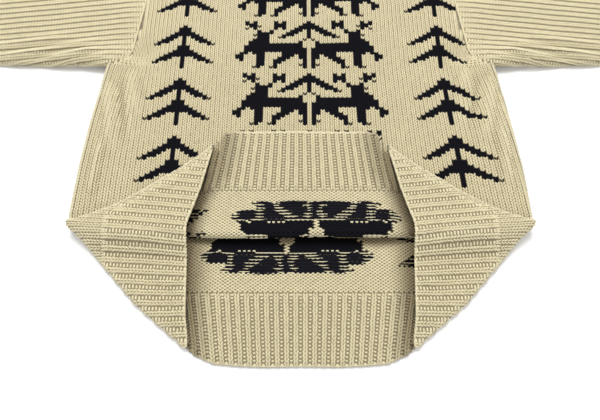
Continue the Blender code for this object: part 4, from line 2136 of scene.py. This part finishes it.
def floor(half: float = 6.0) -> None:
    """Lay the pale floor under the sweater.

    Args:
        half: Its half width.
    """
    mesh = bpy.data.meshes.new("floor")
    corners = [(-half, -half, 0), (half, -half, 0), (half, half, 0), (-half, half, 0)]
    mesh.from_pydata(corners, [], [(0, 1, 2, 3)])
    material = bpy.data.materials.new("pale paper")
    material.use_nodes = True
    tree = material.node_tree
    noise = node(tree, "ShaderNodeTexNoise", {"Scale": 3.0})
    tint = node(tree, "ShaderNodeMix", data_type="RGBA")
    feed(tree, tint, {"Factor": noise.outputs["Fac"], 6: (0.93, 0.93, 0.93, 1), 7: (0.96, 0.96, 0.96, 1)})
    feed(tree, tree.nodes["Principled BSDF"], {"Roughness": 0.8, "Base Color": tint.outputs[2]})
    mesh.materials.append(material)
    piece = bpy.data.objects.new("floor", mesh)
    bpy.context.scene.collection.objects.link(piece)


@dataclass
class Studio:
    """The camera at the photograph's angle, and plain soft light."""

    camera_height: float = 0.6345
    camera_y: float = -0.2432
    tilt: float = math.radians(22.83)
    focal: float = 546.0
    image_width: float = 600.0
    centre_px: float = 300.6
    sensor: float = 36.0

    def build(self) -> None:
        """Set up the camera and the lights."""
        scene = bpy.context.scene
        data = bpy.data.cameras.new("camera")
        data.sensor_width = self.sensor
        data.lens = self.sensor * self.focal / self.image_width
        data.shift_x = (self.image_width / 2 - self.centre_px) / self.image_width
        data.clip_start = 0.01
        camera = bpy.data.objects.new("camera", data)
        camera.location = (0.0, self.camera_y - MIDDLE_Y, self.camera_height)
        camera.rotation_euler = (self.tilt, 0.0, 0.0)
        scene.collection.objects.link(camera)
        scene.camera = camera
        self.lamp("far window", (-0.12, 0.75, 1.90), 1.2, 34.0)
        self.lamp("near fill", (0.6, -1.6, 1.5), 1.4, 4.5)
        world = bpy.data.worlds.new("pale room")
        world.use_nodes = True
        background = world.node_tree.nodes["Background"]
        background.inputs["Color"].default_value = (1.0, 1.0, 1.0, 1.0)
        background.inputs["Strength"].default_value = 0.76
        scene.world = world
        scene.view_settings.view_transform = "Standard"

    @staticmethod
    def lamp(name: str, place: tuple[float, float, float], size: float, power: float) -> None:
        """Add an area light that looks at the sweater.

        Args:
            name: Its name.
            place: Where it stands.
            size: Its width.
            power: Its power in watts.
        """
        data = bpy.data.lights.new(name, "AREA")
        data.shape = "DISK"
        data.size = size
        data.energy = power
        lamp = bpy.data.objects.new(name, data)
        lamp.location = place
        lamp.rotation_euler = Vector(place).to_track_quat("Z", "Y").to_euler()
        bpy.context.scene.collection.objects.link(lamp)


def make_ribs(maker: Maker) -> None:
    """Make every piece that is knitted in rib.

    Args:
        maker: The shared means.
    """
    hem, front_band, back_band = 0.0116, 0.26 / 28, 0.20 / 20
    RibPiece(maker, "rib_front", FlapForm(pitch=hem, relief=0.0022), (-0.1508, 0.1508), 0.0853,
             (0.300, 0.0853), "hem_rib_front", ("front_cloth",), area=0.0235).build()
    RibPiece(maker, "rib_back", BackForm(pitch=hem, relief=0.0022), (-0.1566, 0.1566), 0.0838,
             (0.296, 0.0838), "hem_rib_back").build()
    for ending, side in (("left", -1), ("right", 1)):
        SideOfHem(maker, f"hem_side_{ending}", TriangleForm(side, hem), (-0.146, 0.112), 0.168,
                  (0.258, 0.168), f"hem_side_{ending}", ("turned_front_cloth",), area=0.0250).build()
        Sleeve(maker, f"sleeve_{ending}", SleeveForm(side), (-0.0096, 0.4704), 0.478,
               (0.470, 0.478), f"sleeve_{ending}", slot="wool_sleeve", area=0.170,
               knit_share=0.66, cloth_lines=3, edges=()).build()
        Cuff(maker, f"cuff_{ending}", CuffForm(side), (-0.0104, 0.2080), 0.075,
             (0.215, 0.075), f"cuff_{ending}", edges=(0.075,)).build()
    RibPiece(maker, "neckband_front", BandForm(0.079, 0.054, 0.0084, front_band), (0.0, 0.26), 0.025,
             (0.22, 0.025), "neckband_front", ("front_cloth",), edges=(0.025,)).build()
    RibPiece(maker, "neckband_back", BandForm(0.019, 0.006, 0.0040, back_band, length=0.20), (0.0, 0.20),
             0.025, (0.17, 0.025), "neckband_back", edges=(0.025,)).build()


def main() -> None:
    """Make the sweater and its surroundings."""
    logging.basicConfig(level=logging.INFO, format="%(message)s")
    maker = Maker(Finishes.build())
    Front(maker).build()
    TurnedFront(maker).build()
    Back(maker).build()
    make_ribs(maker)
    floor()
    Studio().build()


if __name__ == "__main__":
    main()
